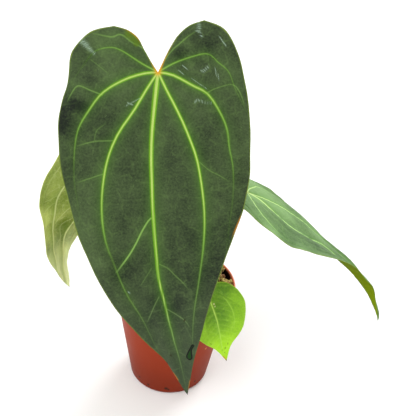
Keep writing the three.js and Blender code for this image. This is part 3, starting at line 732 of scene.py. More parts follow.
def route_curve(points, place):
    """Smooth route at places from 0 to 1 over its points: cubic stretches with knots spaced
    by the square root of the gaps, and the end gaps repeated past the ends."""
    points = np.asarray(points, float)
    padded = np.vstack([2 * points[0] - points[1], points, 2 * points[-1] - points[-2]])
    knots = np.sqrt(np.linalg.norm(np.diff(padded, axis=0), axis=1))
    first, u = stretch_at(place, len(points))
    before, start, end, after = (padded[first + k] for k in range(4))
    gap_in, gap, gap_out = (knots[first + k][:, None] for k in range(3))
    slope_in = (start - before) / gap_in - (end - before) / (gap_in + gap) + (end - start) / gap
    slope_out = (end - start) / gap - (after - start) / (gap + gap_out) + (after - end) / gap_out
    return cubic(start, end, slope_in * gap, slope_out * gap, u)


def nearest(places, line):
    """Distance from flat places to a line, the offset to the nearest point on it, and that
    point's share of the line. Each piece of the line is met at a right angle, and the
    closest foot is kept. A piece with no length counts as its point."""
    line = np.asarray(line, float)
    run = run_along(line)
    run = run / run[-1]
    best = np.full(len(places), np.inf)
    offset = np.zeros((len(places), 2))
    share = np.zeros(len(places))
    for start, end, begins, ends in zip(line[:-1], line[1:], run[:-1], run[1:]):
        step = end - start
        t = np.clip((places - start) @ step / max(step @ step, 1e-9), 0, 1)
        away = start + t[:, None] * step - places
        distance = np.hypot(away[:, 0], away[:, 1])
        closer = distance < best
        best[closer] = distance[closer]
        offset[closer] = away[closer]
        share[closer] = (begins + t * (ends - begins))[closer]
    return best, offset, share


def rolling(places, size, seed, waves=14):
    """Gentle random height, about -1 to 1: a sum of sine waves of nearly one length, each
    with its own direction and phase."""
    random = np.random.default_rng(seed)
    ways = unit(random.normal(size=(waves, places.shape[-1])))
    ways *= 2 * np.pi / size * random.uniform(0.7, 1.4, (waves, 1))
    phases = random.uniform(0, 2 * np.pi, waves)
    return np.sin(places @ ways.T + phases).sum(-1) / np.sqrt(waves) / 1.2


def rounded(corners, radius, steps=4):
    """Outline with each inner corner cut back by up to radius and bridged with a parabola
    that has the corner as its control point."""
    corners = np.asarray(corners, float)
    points = [corners[0]]
    for before, corner, after in zip(corners[:-2], corners[1:-1], corners[2:]):
        reach_in = min(radius, 0.45 * np.linalg.norm(before - corner))
        reach_out = min(radius, 0.45 * np.linalg.norm(after - corner))
        start = corner + unit(before - corner) * reach_in
        end = corner + unit(after - corner) * reach_out
        for u in np.linspace(0, 1, steps + 1):
            points.append((1 - u) ** 2 * start + 2 * u * (1 - u) * corner + u**2 * end)
    points.append(corners[-1])
    return np.array(points)


# Meshes


def around_axis(radius, height, angle):
    """Points at a radius from Z and a height, at an angle round it."""
    radius, height, angle = np.broadcast_arrays(radius, height, angle)
    return np.stack([radius * np.cos(angle), radius * np.sin(angle), height], -1)


def spokes(side, other, angles):
    """Directions at angles round a track, from the two directions square to it."""
    turned_side = side[..., None, :] * np.cos(angles)[:, None]
    return turned_side + other[..., None, :] * np.sin(angles)[:, None]


def grid_faces(rows, columns, start=0, closed=False):
    """Quads of a grid of points numbered row by row from start. closed joins the last
    column to the first."""
    lines = columns if closed else columns - 1
    row, column = np.meshgrid(np.arange(rows - 1), np.arange(lines), indexing="ij")
    here = start + row * columns + column
    beside = start + row * columns + (column + 1) % columns
    return np.stack([here, beside, beside + columns, here + columns], -1).reshape(-1, 4)


def fan_faces(pole, ring_start, count, turned=False):
    """Triangles from a pole to a closed ring."""
    here = ring_start + np.arange(count)
    beside = ring_start + (np.arange(count) + 1) % count
    ends = (here, beside) if turned else (beside, here)
    return np.stack([np.full(count, pole), *ends], -1)


def shell(rings):
    """Closed surface over rings (count, sides, 3) whose first and last ring close on a point
    at their middle. Returns its points and faces."""
    count, sides = rings.shape[:2]
    points = np.vstack([rings.reshape(-1, 3), rings[0].mean(0), rings[-1].mean(0)])
    body = grid_faces(count, sides, closed=True)
    first = fan_faces(count * sides, 0, sides)
    last = fan_faces(count * sides + 1, (count - 1) * sides, sides, turned=True)
    return points, [body, first, last]


def joined(parts):
    """Several (points, faces) as one, with each part's faces renumbered."""
    points = np.vstack([part[0] for part in parts])
    faces = []
    start = 0
    for part_points, part_faces in parts:
        faces += [block + start for block in part_faces]
        start += len(part_points)
    return points, faces


def turned(profile, segments):
    """Profile of (radius, height) turned round Z. The first and last point lie on the axis
    and become poles."""
    angles = np.arange(segments) * 2 * np.pi / segments
    profile = np.asarray(profile, float)
    points, faces = shell(around_axis(profile[1:-1, :1], profile[1:-1, 1:], angles))
    points[-2:, 2] = profile[[0, -1], 1]
    return points, faces


def carried_frames(centres):
    """Two directions square to a track at each of its points, carried along it without
    turning about it: each is the last one with its part along the track taken out."""
    along = unit(np.gradient(centres, axis=0))
    helper = np.eye(3)[np.argmin(np.abs(along[0]))]
    side = unit(np.cross(along[0], helper))
    sides = []
    for way in along:
        side = unit(side - way * (side @ way))
        sides.append(side)
    sides = np.array(sides)
    return sides, np.cross(along, sides)


def tube(route, radius_at, sides, steps, rough=0.0, seed=0):
    """Closed round bar: rings of radius_at(share of the length) square to a smooth route,
    drawn in over a quarter circle at both ends, with a random roughness."""
    fine = route_curve(route, np.linspace(0, 1, 400))
    run = run_along(fine)
    length = run[-1]
    arc = np.sin(np.linspace(0.12, 1, 5) * np.pi / 2)
    start_round, end_round = radius_at(np.array([0.0, 1.0]))
    distance = np.concatenate([
        start_round * (1 - np.sqrt(1 - arc[:-1] ** 2)),
        np.linspace(start_round, length - end_round, steps),
        length - end_round * (1 - np.sqrt(1 - arc[:-1] ** 2))[::-1],
    ])
    shrink = np.concatenate([arc[:-1], np.ones(steps), arc[:-1][::-1]])
    centres = np.stack([np.interp(distance, run, fine[:, k]) for k in range(3)], -1)
    side, other = carried_frames(centres)
    angles = np.arange(sides) * 2 * np.pi / sides
    ways = spokes(side, other, angles)
    radii = (radius_at(distance / length) * shrink)[:, None]
    bumps = 1 + rough * rolling(centres[:, None] + 3 * ways, 4, seed)
    points, faces = shell(centres[:, None] + ways * (radii * bumps)[..., None])
    share = np.repeat(distance / length, sides)
    around = np.tile(angles / (2 * np.pi), len(distance))
    return points, faces, np.append(share, [0, 1]), np.append(around, [0, 0])


def new_object(name, points, faces):
    """Object at the origin, from points in millimetres and blocks of faces."""
    mesh = bpy.data.meshes.new(name)
    face_lists = [face for block in faces for face in block.tolist()]
    mesh.from_pydata((points * MM).tolist(), [], face_lists)
    made = bpy.data.objects.new(name, mesh)
    bpy.context.scene.collection.objects.link(made)
    return made


def make_piece(name, points, faces, material, slot, nodes=(), smooth=True, fields=None, flat=None):
    """One piece of the plant or pot. The faces are turned round if the volume that they
    hold comes out negative. fields are numbers or vectors for each point, and flat is a
    place for each point on the map named flat."""
    halves = [
        block[:, [0, k, k + 1]] for block in faces for k in range(1, block.shape[1] - 1)
    ]
    a, b, c = (points[np.concatenate(halves)[:, k]] for k in range(3))
    if np.einsum("ij,ij->", a, np.cross(b, c)) < 0:
        faces = [block[:, ::-1] for block in faces]
    piece = new_object(name, points, faces)
    mesh = piece.data
    mesh.polygons.foreach_set("use_smooth", np.full(len(mesh.polygons), smooth))
    for key, values in (fields or {}).items():
        kind, member = ("FLOAT", "value") if values.ndim == 1 else ("FLOAT_VECTOR", "vector")
        field = mesh.attributes.new(key, kind, "POINT")
        field.data.foreach_set(member, values.astype(np.float32).ravel())
    if flat is not None:
        corners = np.zeros(len(mesh.loops), np.int32)
        mesh.loops.foreach_get("vertex_index", corners)
        layer = mesh.uv_layers.new(name="flat")
        layer.data.foreach_set("uv", flat[corners].astype(np.float32).ravel())
    mesh.materials.append(material)
    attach(piece, "root")
    if nodes:
        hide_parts(*nodes)
    return piece


# Materials


def sign(name, reflected=False):
    """Method of Value for a sign between two values, which adds a Math node."""
    def method(self, other):
        return self.shader.math(name, *((other, self) if reflected else (self, other)))
    return method


class Value:
    """A shader socket whose value changes over a surface. Sums, products and comparisons
    with it add Math nodes."""

    __add__ = sign("ADD")
    __radd__ = sign("ADD", reflected=True)
    __sub__ = sign("SUBTRACT")
    __rsub__ = sign("SUBTRACT", reflected=True)
    __mul__ = sign("MULTIPLY")
    __rmul__ = sign("MULTIPLY", reflected=True)
    __truediv__ = sign("DIVIDE")
    __pow__ = sign("POWER")
    __gt__ = sign("GREATER_THAN")

    def __init__(self, shader, socket):
        self.shader = shader
        self.socket = socket

    def beside(self, name):
        """Another output of the same node."""
        return Value(self.shader, self.socket.node.outputs[name])


class Shader:
    """A material's nodes, added as its colour, roughness and height are worked out."""

    def __init__(self, name):
        self.material = bpy.data.materials.new(name)
        self.material.use_nodes = True
        self.tree = self.material.node_tree
        self.surface = self.tree.nodes["Principled BSDF"]

    def feed(self, socket, value):
        """Links a Value to a socket, or sets the socket to a constant."""
        if isinstance(value, Value):
            self.tree.links.new(value.socket, socket)
        elif socket.type == "RGBA":
            socket.default_value = (*value, 1)
        else:
            socket.default_value = value

    def node(self, kind, settings=None, inputs=None, output=0):
        """Adds a node, sets its settings and then its sockets, and returns one output."""
        node = self.tree.nodes.new("ShaderNode" + kind)
        for key, value in (settings or {}).items():
            setattr(node, key, value)
        for key, value in (inputs or {}).items():
            self.feed(node.inputs[key], value)
        return Value(self, node.outputs[output])

    def math(self, operation, *values):
        return self.node("Math", {"operation": operation}, dict(enumerate(values)))

    def vector(self, operation, *values, output="Vector"):
        return self.node(
            "VectorMath", {"operation": operation}, dict(enumerate(values)), output
        )

    def mix(self, share, first, second):
        """Colour that goes from first to second as share rises."""
        return self.node("Mix", {"data_type": "RGBA"}, {0: share, 6: first, 7: second}, 2)

    def layers(self, ground, *layers):
        """Ground colour with each (share, colour) laid over it in turn."""
        for share, colour in layers:
            ground = self.mix(share, ground, colour)
        return ground

    def rise(self, value, low, high):
        """Smooth step from 0 at low to 1 at high, or falling where low is the greater."""
        bounds = {"Value": value, "From Min": low, "From Max": high}
        return self.node("MapRange", {"interpolation_type": "SMOOTHSTEP"}, bounds)

    def fade(self, distance, pace):
        """1 at no distance, falling by an exponential of the distance times the pace."""
        return self.math("EXPONENT", distance * -pace)

    def field(self, name, output="Fac"):
        """A field of the mesh."""
        return self.node("Attribute", {"attribute_name": name}, output=output)

    def flat(self):
        """Place on the mesh's own flat map."""
        return self.node("UVMap", {"uv_map": "flat"})

    def place(self):
        """Place in the object, in metres."""
        return self.node("TexCoord", output="Object")

    def noise(self, where, size, detail=3, roughness=0.5):
        """Random value about 0.5, with lumps of about that size in the place's units."""
        inputs = {"Vector": where, "Scale": 1 / size, "Detail": detail, "Roughness": roughness}
        return self.node("TexNoise", {}, inputs)

    def streaks(self, where, sizes, detail=3):
        """Noise drawn out by its own size along each axis."""
        stretched = self.vector("DIVIDE", where, sizes)
        return self.noise(stretched, 1, detail)

    def cells(self, where, size, feature="F1", output="Distance"):
        """Cell pattern with cells of about that size."""
        return self.node(
            "TexVoronoi", {"feature": feature}, {"Vector": where, "Scale": 1 / size}, output
        )

    def near(self, where, spot, radius):
        """1 close to a spot in the object, fading to 0 past its radius."""
        centre = tuple(MM * side for side in spot)
        distance = self.vector("DISTANCE", where, centre, output="Value")
        return self.rise(distance, 1.6 * radius * MM, 0.7 * radius * MM)

    def finish(self, colour, roughness, height=None, depth=0.0002, strength=0.5, **constants):
        """Feeds the surface. height is carried by a Bump node of that depth in metres."""
        self.feed(self.surface.inputs["Base Color"], colour)
        self.feed(self.surface.inputs["Roughness"], roughness)
        if height is not None:
            bump = {"Height": height, "Distance": depth, "Strength": strength}
            self.feed(self.surface.inputs["Normal"], self.node("Bump", {}, bump))
        for key, value in constants.items():
            self.feed(self.surface.inputs[key.replace("_", " ")], value)
        return self.material


def pot_material(pot):
    """Thin moulded plastic: even, darker towards the foot, lit through inside the rim, with
    a fine haze of scratches and a few specks of dirt."""
    shader = Shader("pot_plastic")
    place = shader.place()
    height = shader.node("SeparateXYZ", inputs={0: place}, output="Z")
    radius = (height.beside("X") ** 2 + height.beside("Y") ** 2) ** 0.5
    inside = shader.rise(
        radius, pot.rim_radius - pot.wall * 0.5, pot.rim_radius - pot.wall * 0.75
    )
    inside = inside * (height > pot.height - pot.rim_band + 0.0006)
    haze = shader.noise(place, 0.018, 4)
    grain = shader.noise(place, 0.0011, 2)
    low = shader.rise(height, 0.055, 0.004)
    lip = shader.rise(height, pot.height - 0.002, pot.height - 0.001)
    crumbs = shader.cells(place, 0.0075)
    crumb_size = shader.noise(place, 0.02, 1)
    crumb = shader.rise(crumbs, 0.09, 0.05) * (crumb_size > 0.6) * shader.rise(height, 0.03, 0.0)
    colour = shader.layers(
        pot.colour,
        # Painted shade: the outer wall darkens towards the foot.
        (low * 0.75, pot.grain_and_foot_shade_colour),
        ((haze - 0.42) * 0.4, MARK_COLOURS["haze"]),
        ((grain - 0.5) * 0.35, pot.grain_and_foot_shade_colour),
        # Painted glow of light coming through the thin plastic on the inner wall of the rim.
        (inside, pot.inner_glow_colour),
        # Painted shadow on the inner wall beside the dark hollow.
        (shader.near(place, *RIM_SHADOW) * inside, pot.dirt_and_shade_colour),
        # Painted glow of light coming through the plastic on the lip.
        (lip, pot.lip_colour),
        (crumb * 0.8, pot.dirt_and_shade_colour),
        *((shader.near(place, *speck), pot.dirt_and_shade_colour) for speck in POT_SPECKS),
        (shader.near(place, *POT_PALE_SPECK) * 0.7, MARK_COLOURS["pale speck"]),
    )
    scratches = shader.streaks(place, (0.0006, 0.0006, 0.012), 2)
    roughness = (haze - 0.5) * 0.25 + (pot.roughness + 0.02) + (scratches - 0.5) * 0.12
    return shader.finish(
        colour, roughness, scratches * 0.4 + grain, 0.00008, 0.4, Specular_IOR_Level=0.05
    )


def soil_material(mix):
    """Fine dark mix: brown crumbs with near black between them."""
    shader = Shader("soil")
    place = shader.place()
    crumbs = shader.cells(place, 0.0016)
    lumps = shader.noise(place, 0.006, 4)
    colour = shader.layers(
        mix.dark_bark_colour,
        (shader.rise(crumbs, 0.1, 0.6), mix.soil_colour),
        # Painted shade: near black between the lumps and down in the hollow by the wall.
        (shader.rise(lumps, 0.5, 0.38) * 0.7, mix.hollow_colour),
        (shader.field("hollow"), mix.hollow_colour),
    )
    return shader.finish(colour, 0.95, crumbs, 0.0006, 0.8)


def bark_material(mix):
    """Bark: each piece its own brown, with the grain along it."""
    shader = Shader("bark")
    grain = shader.streaks(shader.place(), (0.0045, 0.0009, 0.0014), 4)
    colour = shader.layers(
        mix.dark_bark_colour,
        (shader.field("tone"), mix.bark_colour),
        (shader.rise(grain, 0.6, 0.35) * 0.6, mix.hollow_colour),
    )
    return shader.finish(colour, 0.9, grain, 0.0004, 0.8)


def moss_material(mix):
    """Dry moss and fibre: each strand its own tone of straw."""
    shader = Shader("moss")
    mottle = shader.noise(shader.place(), 0.0015, 2)
    colour = shader.layers(
        mix.dark_moss_colour,
        (shader.field("tone"), mix.moss_colour),
        (shader.rise(mottle, 0.55, 0.35) * 0.35, mix.dark_moss_colour),
    )
    return shader.finish(colour, 0.9)


def skin_material(name, first, second, streak_sizes, roughness):
    """Plant skin: one colour, streaked and blotched with a second."""
    shader = Shader(name)
    place = shader.place()
    streaks = shader.streaks(place, streak_sizes, 4)
    blotches = shader.noise(place, 0.004, 3)
    colour = shader.layers(
        first,
        (shader.rise(streaks, 0.42, 0.66) * 0.6, second),
        (shader.rise(blotches, 0.55, 0.75) * 0.5, second),
    )
    return shader.finish(colour, roughness, streaks + blotches, 0.0004, 0.5)


def stalk_material(stem):
    """Leaf stalk: brownish at its foot, green above, pale at the knee, with fine streaks
    along it and small pale flecks."""
    shader = Shader("leaf_stalk")
    streaks = shader.streaks(shader.flat(), (0.04, 1.2, 1), 3)
    flecks = shader.cells(shader.place(), 0.0022)
    colour = shader.layers(
        stem.stalk_foot_colour,
        (shader.rise(shader.field("share"), 0.0, 0.16), stem.stalk_colour),
        (shader.field("knee"), stem.knee_colour),
        (shader.rise(streaks, 0.5, 0.7) * 0.4, stem.knee_colour),
        (shader.rise(flecks, 0.16, 0.08) * 0.5, MARK_COLOURS["fleck"]),
    )
    return shader.finish(colour, 0.42, streaks, 0.0003, 0.4)


def sheath_material(stem):
    """Dry papery sheath with fibres running up it."""
    shader = Shader("dry_sheath")
    fibres = shader.streaks(shader.flat(), (0.02, 0.5, 1), 4)
    stains = shader.noise(shader.place(), 0.006, 3)
    colour = shader.layers(
        stem.dark_sheath_colour,
        (shader.rise(fibres, 0.42, 0.62), stem.sheath_colour),
        (shader.rise(stains, 0.55, 0.8) * 0.6, MARK_COLOURS["stain"]),
    )
    return shader.finish(colour, 0.8, fibres, 0.0004, 0.8)


def blade_material(blade, finish):
    """Leaf blade, its colour laid down in layers: on the upper face mottled ground, a halo
    beside the main veins, the finest net, smaller veins and main veins with a brighter
    core, and on the under face ground and raised veins. Marks come last."""
    shader = Shader(f"{blade}_blade")
    flat = shader.flat()
    main = shader.field("main_vein")
    strength = shader.field("main_strength")
    branch = shader.vector("LENGTH", shader.field("branch_offset", "Vector"), output="Value")
    branch_far = shader.field("branch_distance")
    branch_strength = shader.field("branch_strength")
    tipward = shader.field("tipward")
    under = shader.field("under")

    mottle = shader.noise(flat, 1.3 / FLAT_UNIT, 4, 0.6)
    broad = shader.noise(flat, 26 / FLAT_UNIT, 2)
    patches = shader.noise(flat, 7 / FLAT_UNIT, 3)
    uneven = (mottle - 0.5) * 1.5 + (broad - 0.5) * 1.3 + (patches - 0.5) * 0.7
    # The shade field lays painted light and shade, with some of the blade's own lighter and darker
    # patches, over the random mottle.
    tone = uneven * finish.mottle + shader.field("shade") + 0.5

    across = main / shader.field("main_width")
    core = shader.rise(across, 1.2, 0.4) * strength
    rim = shader.rise(across, 2.5, 1.0) * strength
    halo = shader.fade(main, 0.42) * strength * finish.halo_strength
    branch_line = shader.math("MAXIMUM", branch, branch_far - 0.6)
    small = shader.rise(branch_line, 0.62, 0.12) * branch_strength
    small_halo = shader.fade(branch_far, 0.7) * branch_strength * finish.halo_strength * 0.5

    bends = shader.noise(flat, 0.09, 2).beside("Color")
    wander = shader.vector("MULTIPLY_ADD", bends, (0.05,) * 3, flat)
    coarse_net = shader.cells(wander, 11 / FLAT_UNIT, "DISTANCE_TO_EDGE")
    fine_net = shader.cells(wander, 4.2 / FLAT_UNIT, "DISTANCE_TO_EDGE")
    net = shader.rise(coarse_net, 0.06, 0.0) * shader.rise(patches, 0.4, 0.6) * finish.net
    net = net + shader.rise(fine_net, 0.09, 0.0) * (finish.net * 0.4)
    # Painted glints: tiny pale flecks standing in for the sparkle of the velvet surface.
    flecks = shader.rise(shader.cells(flat, 1.9 / FLAT_UNIT), 0.16, 0.04) * finish.flecks

    small_vein = shader.mix(tipward + 0.6, finish.vein_edge, finish.tip_vein)
    weak = shader.rise(strength, 0.8, 0.3)
    vein = shader.layers(finish.vein, (weak, small_vein), (tipward, finish.tip_vein))
    upper = shader.layers(
        finish.upper_dark,
        (tone, finish.upper),
        (tipward * 0.6, finish.tip),
        (halo, finish.halo),
        (small_halo, finish.halo),
        (net, small_vein),
        (flecks, finish.tip_vein),
        (small * 0.7, small_vein),
        (shader.field("olive") * 0.7, MARK_COLOURS["olive"]),
        (rim * (0.6 - tipward * 0.5), finish.vein_edge),
        (core, vein),
    )
    # Painted shade on the side of each raised vein that is turned from the light.
    shaded_vein_side = shader.fade(main, 0.35) * strength * shader.field("vein_side")
    below = shader.layers(
        finish.under_dark,
        (tone, finish.under),
        (tipward * 0.9, finish.under_tip),
        (net * 1.2, finish.under_vein),
        (small * 0.8, finish.under_vein),
        (shaded_vein_side * 0.9, finish.under_dark),
        (shader.rise(across, 2.4, 0.8) * strength, finish.under_vein),
    )

    edge_line = shader.rise(shader.field("edge"), 0.75, 0.2) * (1 - tipward) * 0.7
    worn = shader.rise(shader.noise(flat, 0.6 / FLAT_UNIT, 2), 0.35, 0.6)
    scuff = shader.field("scuffs") * (worn * 0.75 + 0.25)
    drop = shader.field("wet") + (patches - 0.5) * 0.8
    wet = shader.rise(drop, 0.25, -0.1)
    colour = shader.layers(
        upper,
        (under, below),
        (edge_line, finish.edge),
        (shader.field("warm") * 0.8, MARK_COLOURS["warm"]),
        (shader.field("sinus"), MARK_COLOURS["sinus"]),
        (scuff * 0.7, MARK_COLOURS["scuff"]),
        (wet * 0.95, MARK_COLOURS["wet"]),
        (shader.rise(drop, -0.6, -1.1) * 0.6, MARK_COLOURS["wet middle"]),
        (shader.field("dark"), MARK_COLOURS["dark"]),
        (shader.field("pale"), MARK_COLOURS["pale"]),
    )

    dry = (mottle - 0.5) * 0.2 + finish.roughness
    dry = dry * (1 - under) + under * 0.8
    roughness = dry * (1 - wet) + wet * 0.08
    height = mottle * 0.4 + net * 1.5 + small * 0.6 + rim * 0.5
    return shader.finish(
        colour, roughness, height, 0.0002, 0.4, Specular_IOR_Level=finish.gloss
    )


# Pot


def pot_profile(pot):
    """Corners of the pot's section from the middle of the base, out and up the outer wall,
    over the lip and back down inside. The round foot is a quarter circle."""
    height, rim = pot.height / MM, pot.rim_radius / MM
    body, base, wall = pot.body_top_radius / MM, pot.base_radius / MM, pot.wall / MM
    band_foot = height - pot.rim_band / MM
    angles = np.radians(np.linspace(0, 90, 9))
    foot = np.stack([
        base - BASE_ROUND * (1 - np.sin(angles)), BASE_ROUND * (1 - np.cos(angles))
    ], -1)
    outer_wall = np.linspace((base, BASE_ROUND), (body, band_foot), 20)[1:-1]
    inner_wall = np.linspace((body - wall, band_foot - 1), (base - wall, BASE_ROUND + 1), 12)
    ring = [
        (0, FOOT_RECESS), (FOOT_RING_INNER - 1, FOOT_RECESS), (FOOT_RING_INNER, 0),
    ]
    band = rounded([
        (body, band_foot - 1), (body, band_foot), (rim - 0.8, band_foot + 0.4),
        (rim - 0.4, band_foot + BAND_STEP), (rim, height - 0.6), (rim - 0.15, height),
        (rim - wall + 0.1, height), (rim - wall, height - 0.6),
        (rim - wall - BAND_TAPER, band_foot + BAND_STEP), (body - wall, band_foot - 1),
    ], 0.5)
    floor = [(base - wall - 1, BASE_THICKNESS), (0, BASE_THICKNESS)]
    return np.vstack([ring, foot, outer_wall, band, inner_wall[1:], floor])


def drill(angle):
    """Round cutter through the base at an angle round the pot."""
    points, faces = turned([(0, -4), (DRAIN_RADIUS, -4), (DRAIN_RADIUS, 5), (0, 5)], 28)
    return points + around_axis(DRAIN_CIRCLE, 0, angle), faces


def cut(piece, cutter):
    """Takes the cutter out of the piece and keeps the result as the piece's own mesh."""
    modifier = piece.modifiers.new("drain", "BOOLEAN")
    modifier.operation = "DIFFERENCE"
    modifier.solver = "EXACT"
    modifier.object = cutter
    graph = bpy.context.evaluated_depsgraph_get()
    mesh = bpy.data.meshes.new_from_object(piece.evaluated_get(graph))
    if len(mesh.vertices) <= len(piece.data.vertices):
        raise RuntimeError("The drain holes were not cut")
    piece.modifiers.clear()
    piece.data = mesh
    bpy.data.objects.remove(cutter)


class ANTHURIUM_OT_pot(bpy.types.Operator):
    """Builds the nursery pot: its section turned round Z, with drain holes cut in the base"""

    bl_idname = "anthurium.pot"
    bl_label = "Pot"

    def execute(self, context):
        pot = context.scene.anthurium.pot
        body = turned(pot_profile(pot), POT_SEGMENTS)
        piece = make_piece("nursery_pot", *body, pot_material(pot), "pot_plastic", ["pot"])
        angles = np.arange(DRAIN_HOLES) * 2 * np.pi / DRAIN_HOLES
        cut(piece, new_object("drills", *joined([drill(angle) for angle in angles])))
        return {"FINISHED"}


# Substrate


def inner_radius(pot, height):
    """Inner radius of the pot at a height: a taper up to the step, then the wider band."""
    low, high = BASE_ROUND + 1, (pot.height - pot.rim_band) / MM - 1
    base, top = (pot.base_radius - pot.wall) / MM, (pot.body_top_radius - pot.wall) / MM
    if height > high + 1 + BAND_STEP:
        return (pot.rim_radius - pot.wall) / MM - BAND_TAPER
    return np.interp(height, (low, high), (base, top))


def by_heap(x, y, spread):
    """1 on top of the heap, falling beside it."""
    distance = np.hypot(x - HEAP_PLACE[0], y - HEAP_PLACE[1])
    return np.exp(-0.5 * (distance / spread) ** 2)


def soil_height(settings, x, y):
    """Height of the surface: a low mound with gentle lumps, heaped up at one side."""
    mix = settings.substrate
    reach = np.hypot(x, y) / inner_radius(settings.pot, mix.level / MM)
    lumps = 0.6 * np.sin(x / 4.1 + 1) * np.cos(y / 5.3) + 0.4 * np.sin((x + y) / 3)
    heap = HEAP_HEIGHT * by_heap(x, y, HEAP_SPREAD)
    return mix.level / MM + mix.mound / MM * (1 - reach**2) + lumps + heap


def hollow_share(x, y):
    """How deep a place lies in the dark gap beside the wall, from 0 to 1."""
    away = (np.stack([x, y], -1) - HOLLOW_PLACE) / HOLLOW_SPREAD
    return np.exp(-0.5 * (away**2).sum(-1))


def soil_shell(settings):
    """Closed body of the fine mix: rings out over the lumpy surface, then down the wall."""
    pot = settings.pot
    angles = np.arange(SOIL_SEGMENTS) * 2 * np.pi / SOIL_SEGMENTS
    top = inner_radius(pot, settings.substrate.level / MM) - SOIL_GAP
    radii = top * np.linspace(0.02, 1, SOIL_RINGS)[:, None]
    surface = around_axis(radii, 0, angles)
    x, y = surface[..., 0], surface[..., 1]
    rough = 0.7 * rolling(surface[..., :2], 4, 5) + 0.4 * rolling(surface[..., :2], 1.8, 6)
    calm = falling(radii / top, 0.94, 1.0)
    height = soil_height(settings, x, y) + rough * calm - HOLLOW_DEPTH * hollow_share(x, y)
    surface = np.stack([x, y, height], -1)
    step = (pot.height - pot.rim_band) / MM - 1.2
    heights = (step, 60, 40, 20, BASE_ROUND + 1)
    walls = [(inner_radius(pot, height) - SOIL_GAP, height) for height in heights]
    walls.append((inner_radius(pot, 0) - 1 - SOIL_GAP, BASE_THICKNESS + SOIL_GAP))
    rings = [around_axis(radius, height, angles) for radius, height in walls]
    points, faces = shell(np.concatenate([surface, np.stack(rings)]))
    return points, faces, hollow_share(points[:, 0], points[:, 1])


def turned_axes(x_turn, y_turn, z_turn):
    """Matrices that turn about X, then Y, then Z."""
    sx, cx = np.sin(x_turn), np.cos(x_turn)
    sy, cy = np.sin(y_turn), np.cos(y_turn)
    sz, cz = np.sin(z_turn), np.cos(z_turn)
    rows = [
        [cz * cy, cz * sy * sx - sz * cx, cz * sy * cx + sz * sx],
        [sz * cy, sz * sy * sx + cz * cx, sz * sy * cx - cz * sx],
        [-sy, cy * sx, cy * cx],
    ]
    return np.moveaxis(np.array(rows), -1, 0)


def seeded_draws(seed, count):
    """Numbers from 0 to 1, each from the last by one multiplication and a remainder."""
    draws = []
    for _ in range(count):
        seed = seed * 16807 % 2147483647
        draws.append(seed / 2147483647)
    return np.array(draws)


def squared_off(wave):
    """Sine or cosine pushed towards -1 and 1, which makes a circle nearly square."""
    return np.sign(wave) * np.abs(wave) ** 0.45


def chip_shells(centres, sizes, turns, seed):
    """Bark pieces as one mesh: each is a squared-off ball of 8 by 4 points whose points are
    moved at random, stretched to its size, turned and set in place."""
    around, levels = 8, 4
    angles = (np.arange(around) + 0.5) * 2 * np.pi / around
    lifts = np.linspace(-0.36, 0.36, levels) * np.pi
    ring = np.stack([squared_off(np.cos(angles)), squared_off(np.sin(angles))], -1)
    flat = np.abs(np.cos(lifts)) ** 0.4
    ball = np.concatenate([
        ring[None] * flat[:, None, None],
        np.repeat(np.sin(lifts)[:, None, None], around, axis=1) * 1.1,
    ], -1) / 2
    random = np.random.default_rng(seed)
    count = len(centres)
    shapes = ball[None] * (1 + random.uniform(-0.28, 0.22, (count, levels, around, 1)))
    shapes = shapes * sizes[:, None, None]
    shapes = np.einsum("cij,clsj->clsi", turned_axes(*turns.T), shapes) + centres[:, None, None]
    points, faces = joined([shell(shape) for shape in shapes])
    tone = np.repeat(random.uniform(0, 1, count), levels * around + 2)
    return points, faces, tone


def bark_places(settings):
    """Places, sizes and turns of the bark: the big pieces by the rule that the frame's own
    pieces follow, and small ones scattered between them."""
    pot, mix = settings.pot, settings.substrate
    wall = inner_radius(pot, mix.level / MM)
    draw = seeded_draws(BIG_CHIP_SEED, 8 * BIG_CHIPS).reshape(-1, 8).T
    length = np.interp(draw[0], (0, 1), BIG_CHIP_LENGTH)
    thickness = np.interp(draw[1], (0, 1), BIG_CHIP_THICKNESS)
    near, far = CROWN_RADIUS + 8, wall - length / 2 - 1.2
    reach = near + (far - near) * np.sqrt(draw[2])
    angle = draw[3] * 2 * np.pi
    breadth = length * (0.45 + 0.25 * draw[4])
    turns = np.stack([-0.35 + 0.7 * draw[5], -0.3 + 0.6 * draw[6], np.pi * draw[7]], -1)

    random = np.random.default_rng(SMALL_CHIP_SEED)
    count = mix.bark_pieces
    small_length = random.uniform(*SMALL_CHIP_LENGTH, count)
    small_thickness = random.uniform(*SMALL_CHIP_THICKNESS, count)
    near, far = 13, wall - small_length / 2 - 0.8
    small_reach = near + (far - near) * np.sqrt(random.uniform(0, 1, count))
    small_breadth = small_length * random.uniform(0.35, 0.7, count)
    small_turns = random.uniform((-0.6, -0.5, 0), (0.6, 0.5, np.pi), (count, 3))

    big = np.stack([length, breadth, thickness], -1)
    small = np.stack([small_length, small_breadth, small_thickness], -1)
    reach = np.concatenate([reach, small_reach])
    angle = np.concatenate([angle, random.uniform(0, 2 * np.pi, count)])
    lift = np.concatenate([0.15 * thickness, random.uniform(0.1, 0.7, count) * small_thickness])
    centres = around_axis(reach, lift, angle)
    x, y = centres[:, 0], centres[:, 1]
    centres[:, 2] += soil_height(settings, x, y)
    open_ground = hollow_share(x, y) < 0.25
    pieces = (centres, np.vstack([big, small]), np.vstack([turns, small_turns]))
    return [values[open_ground] for values in pieces]


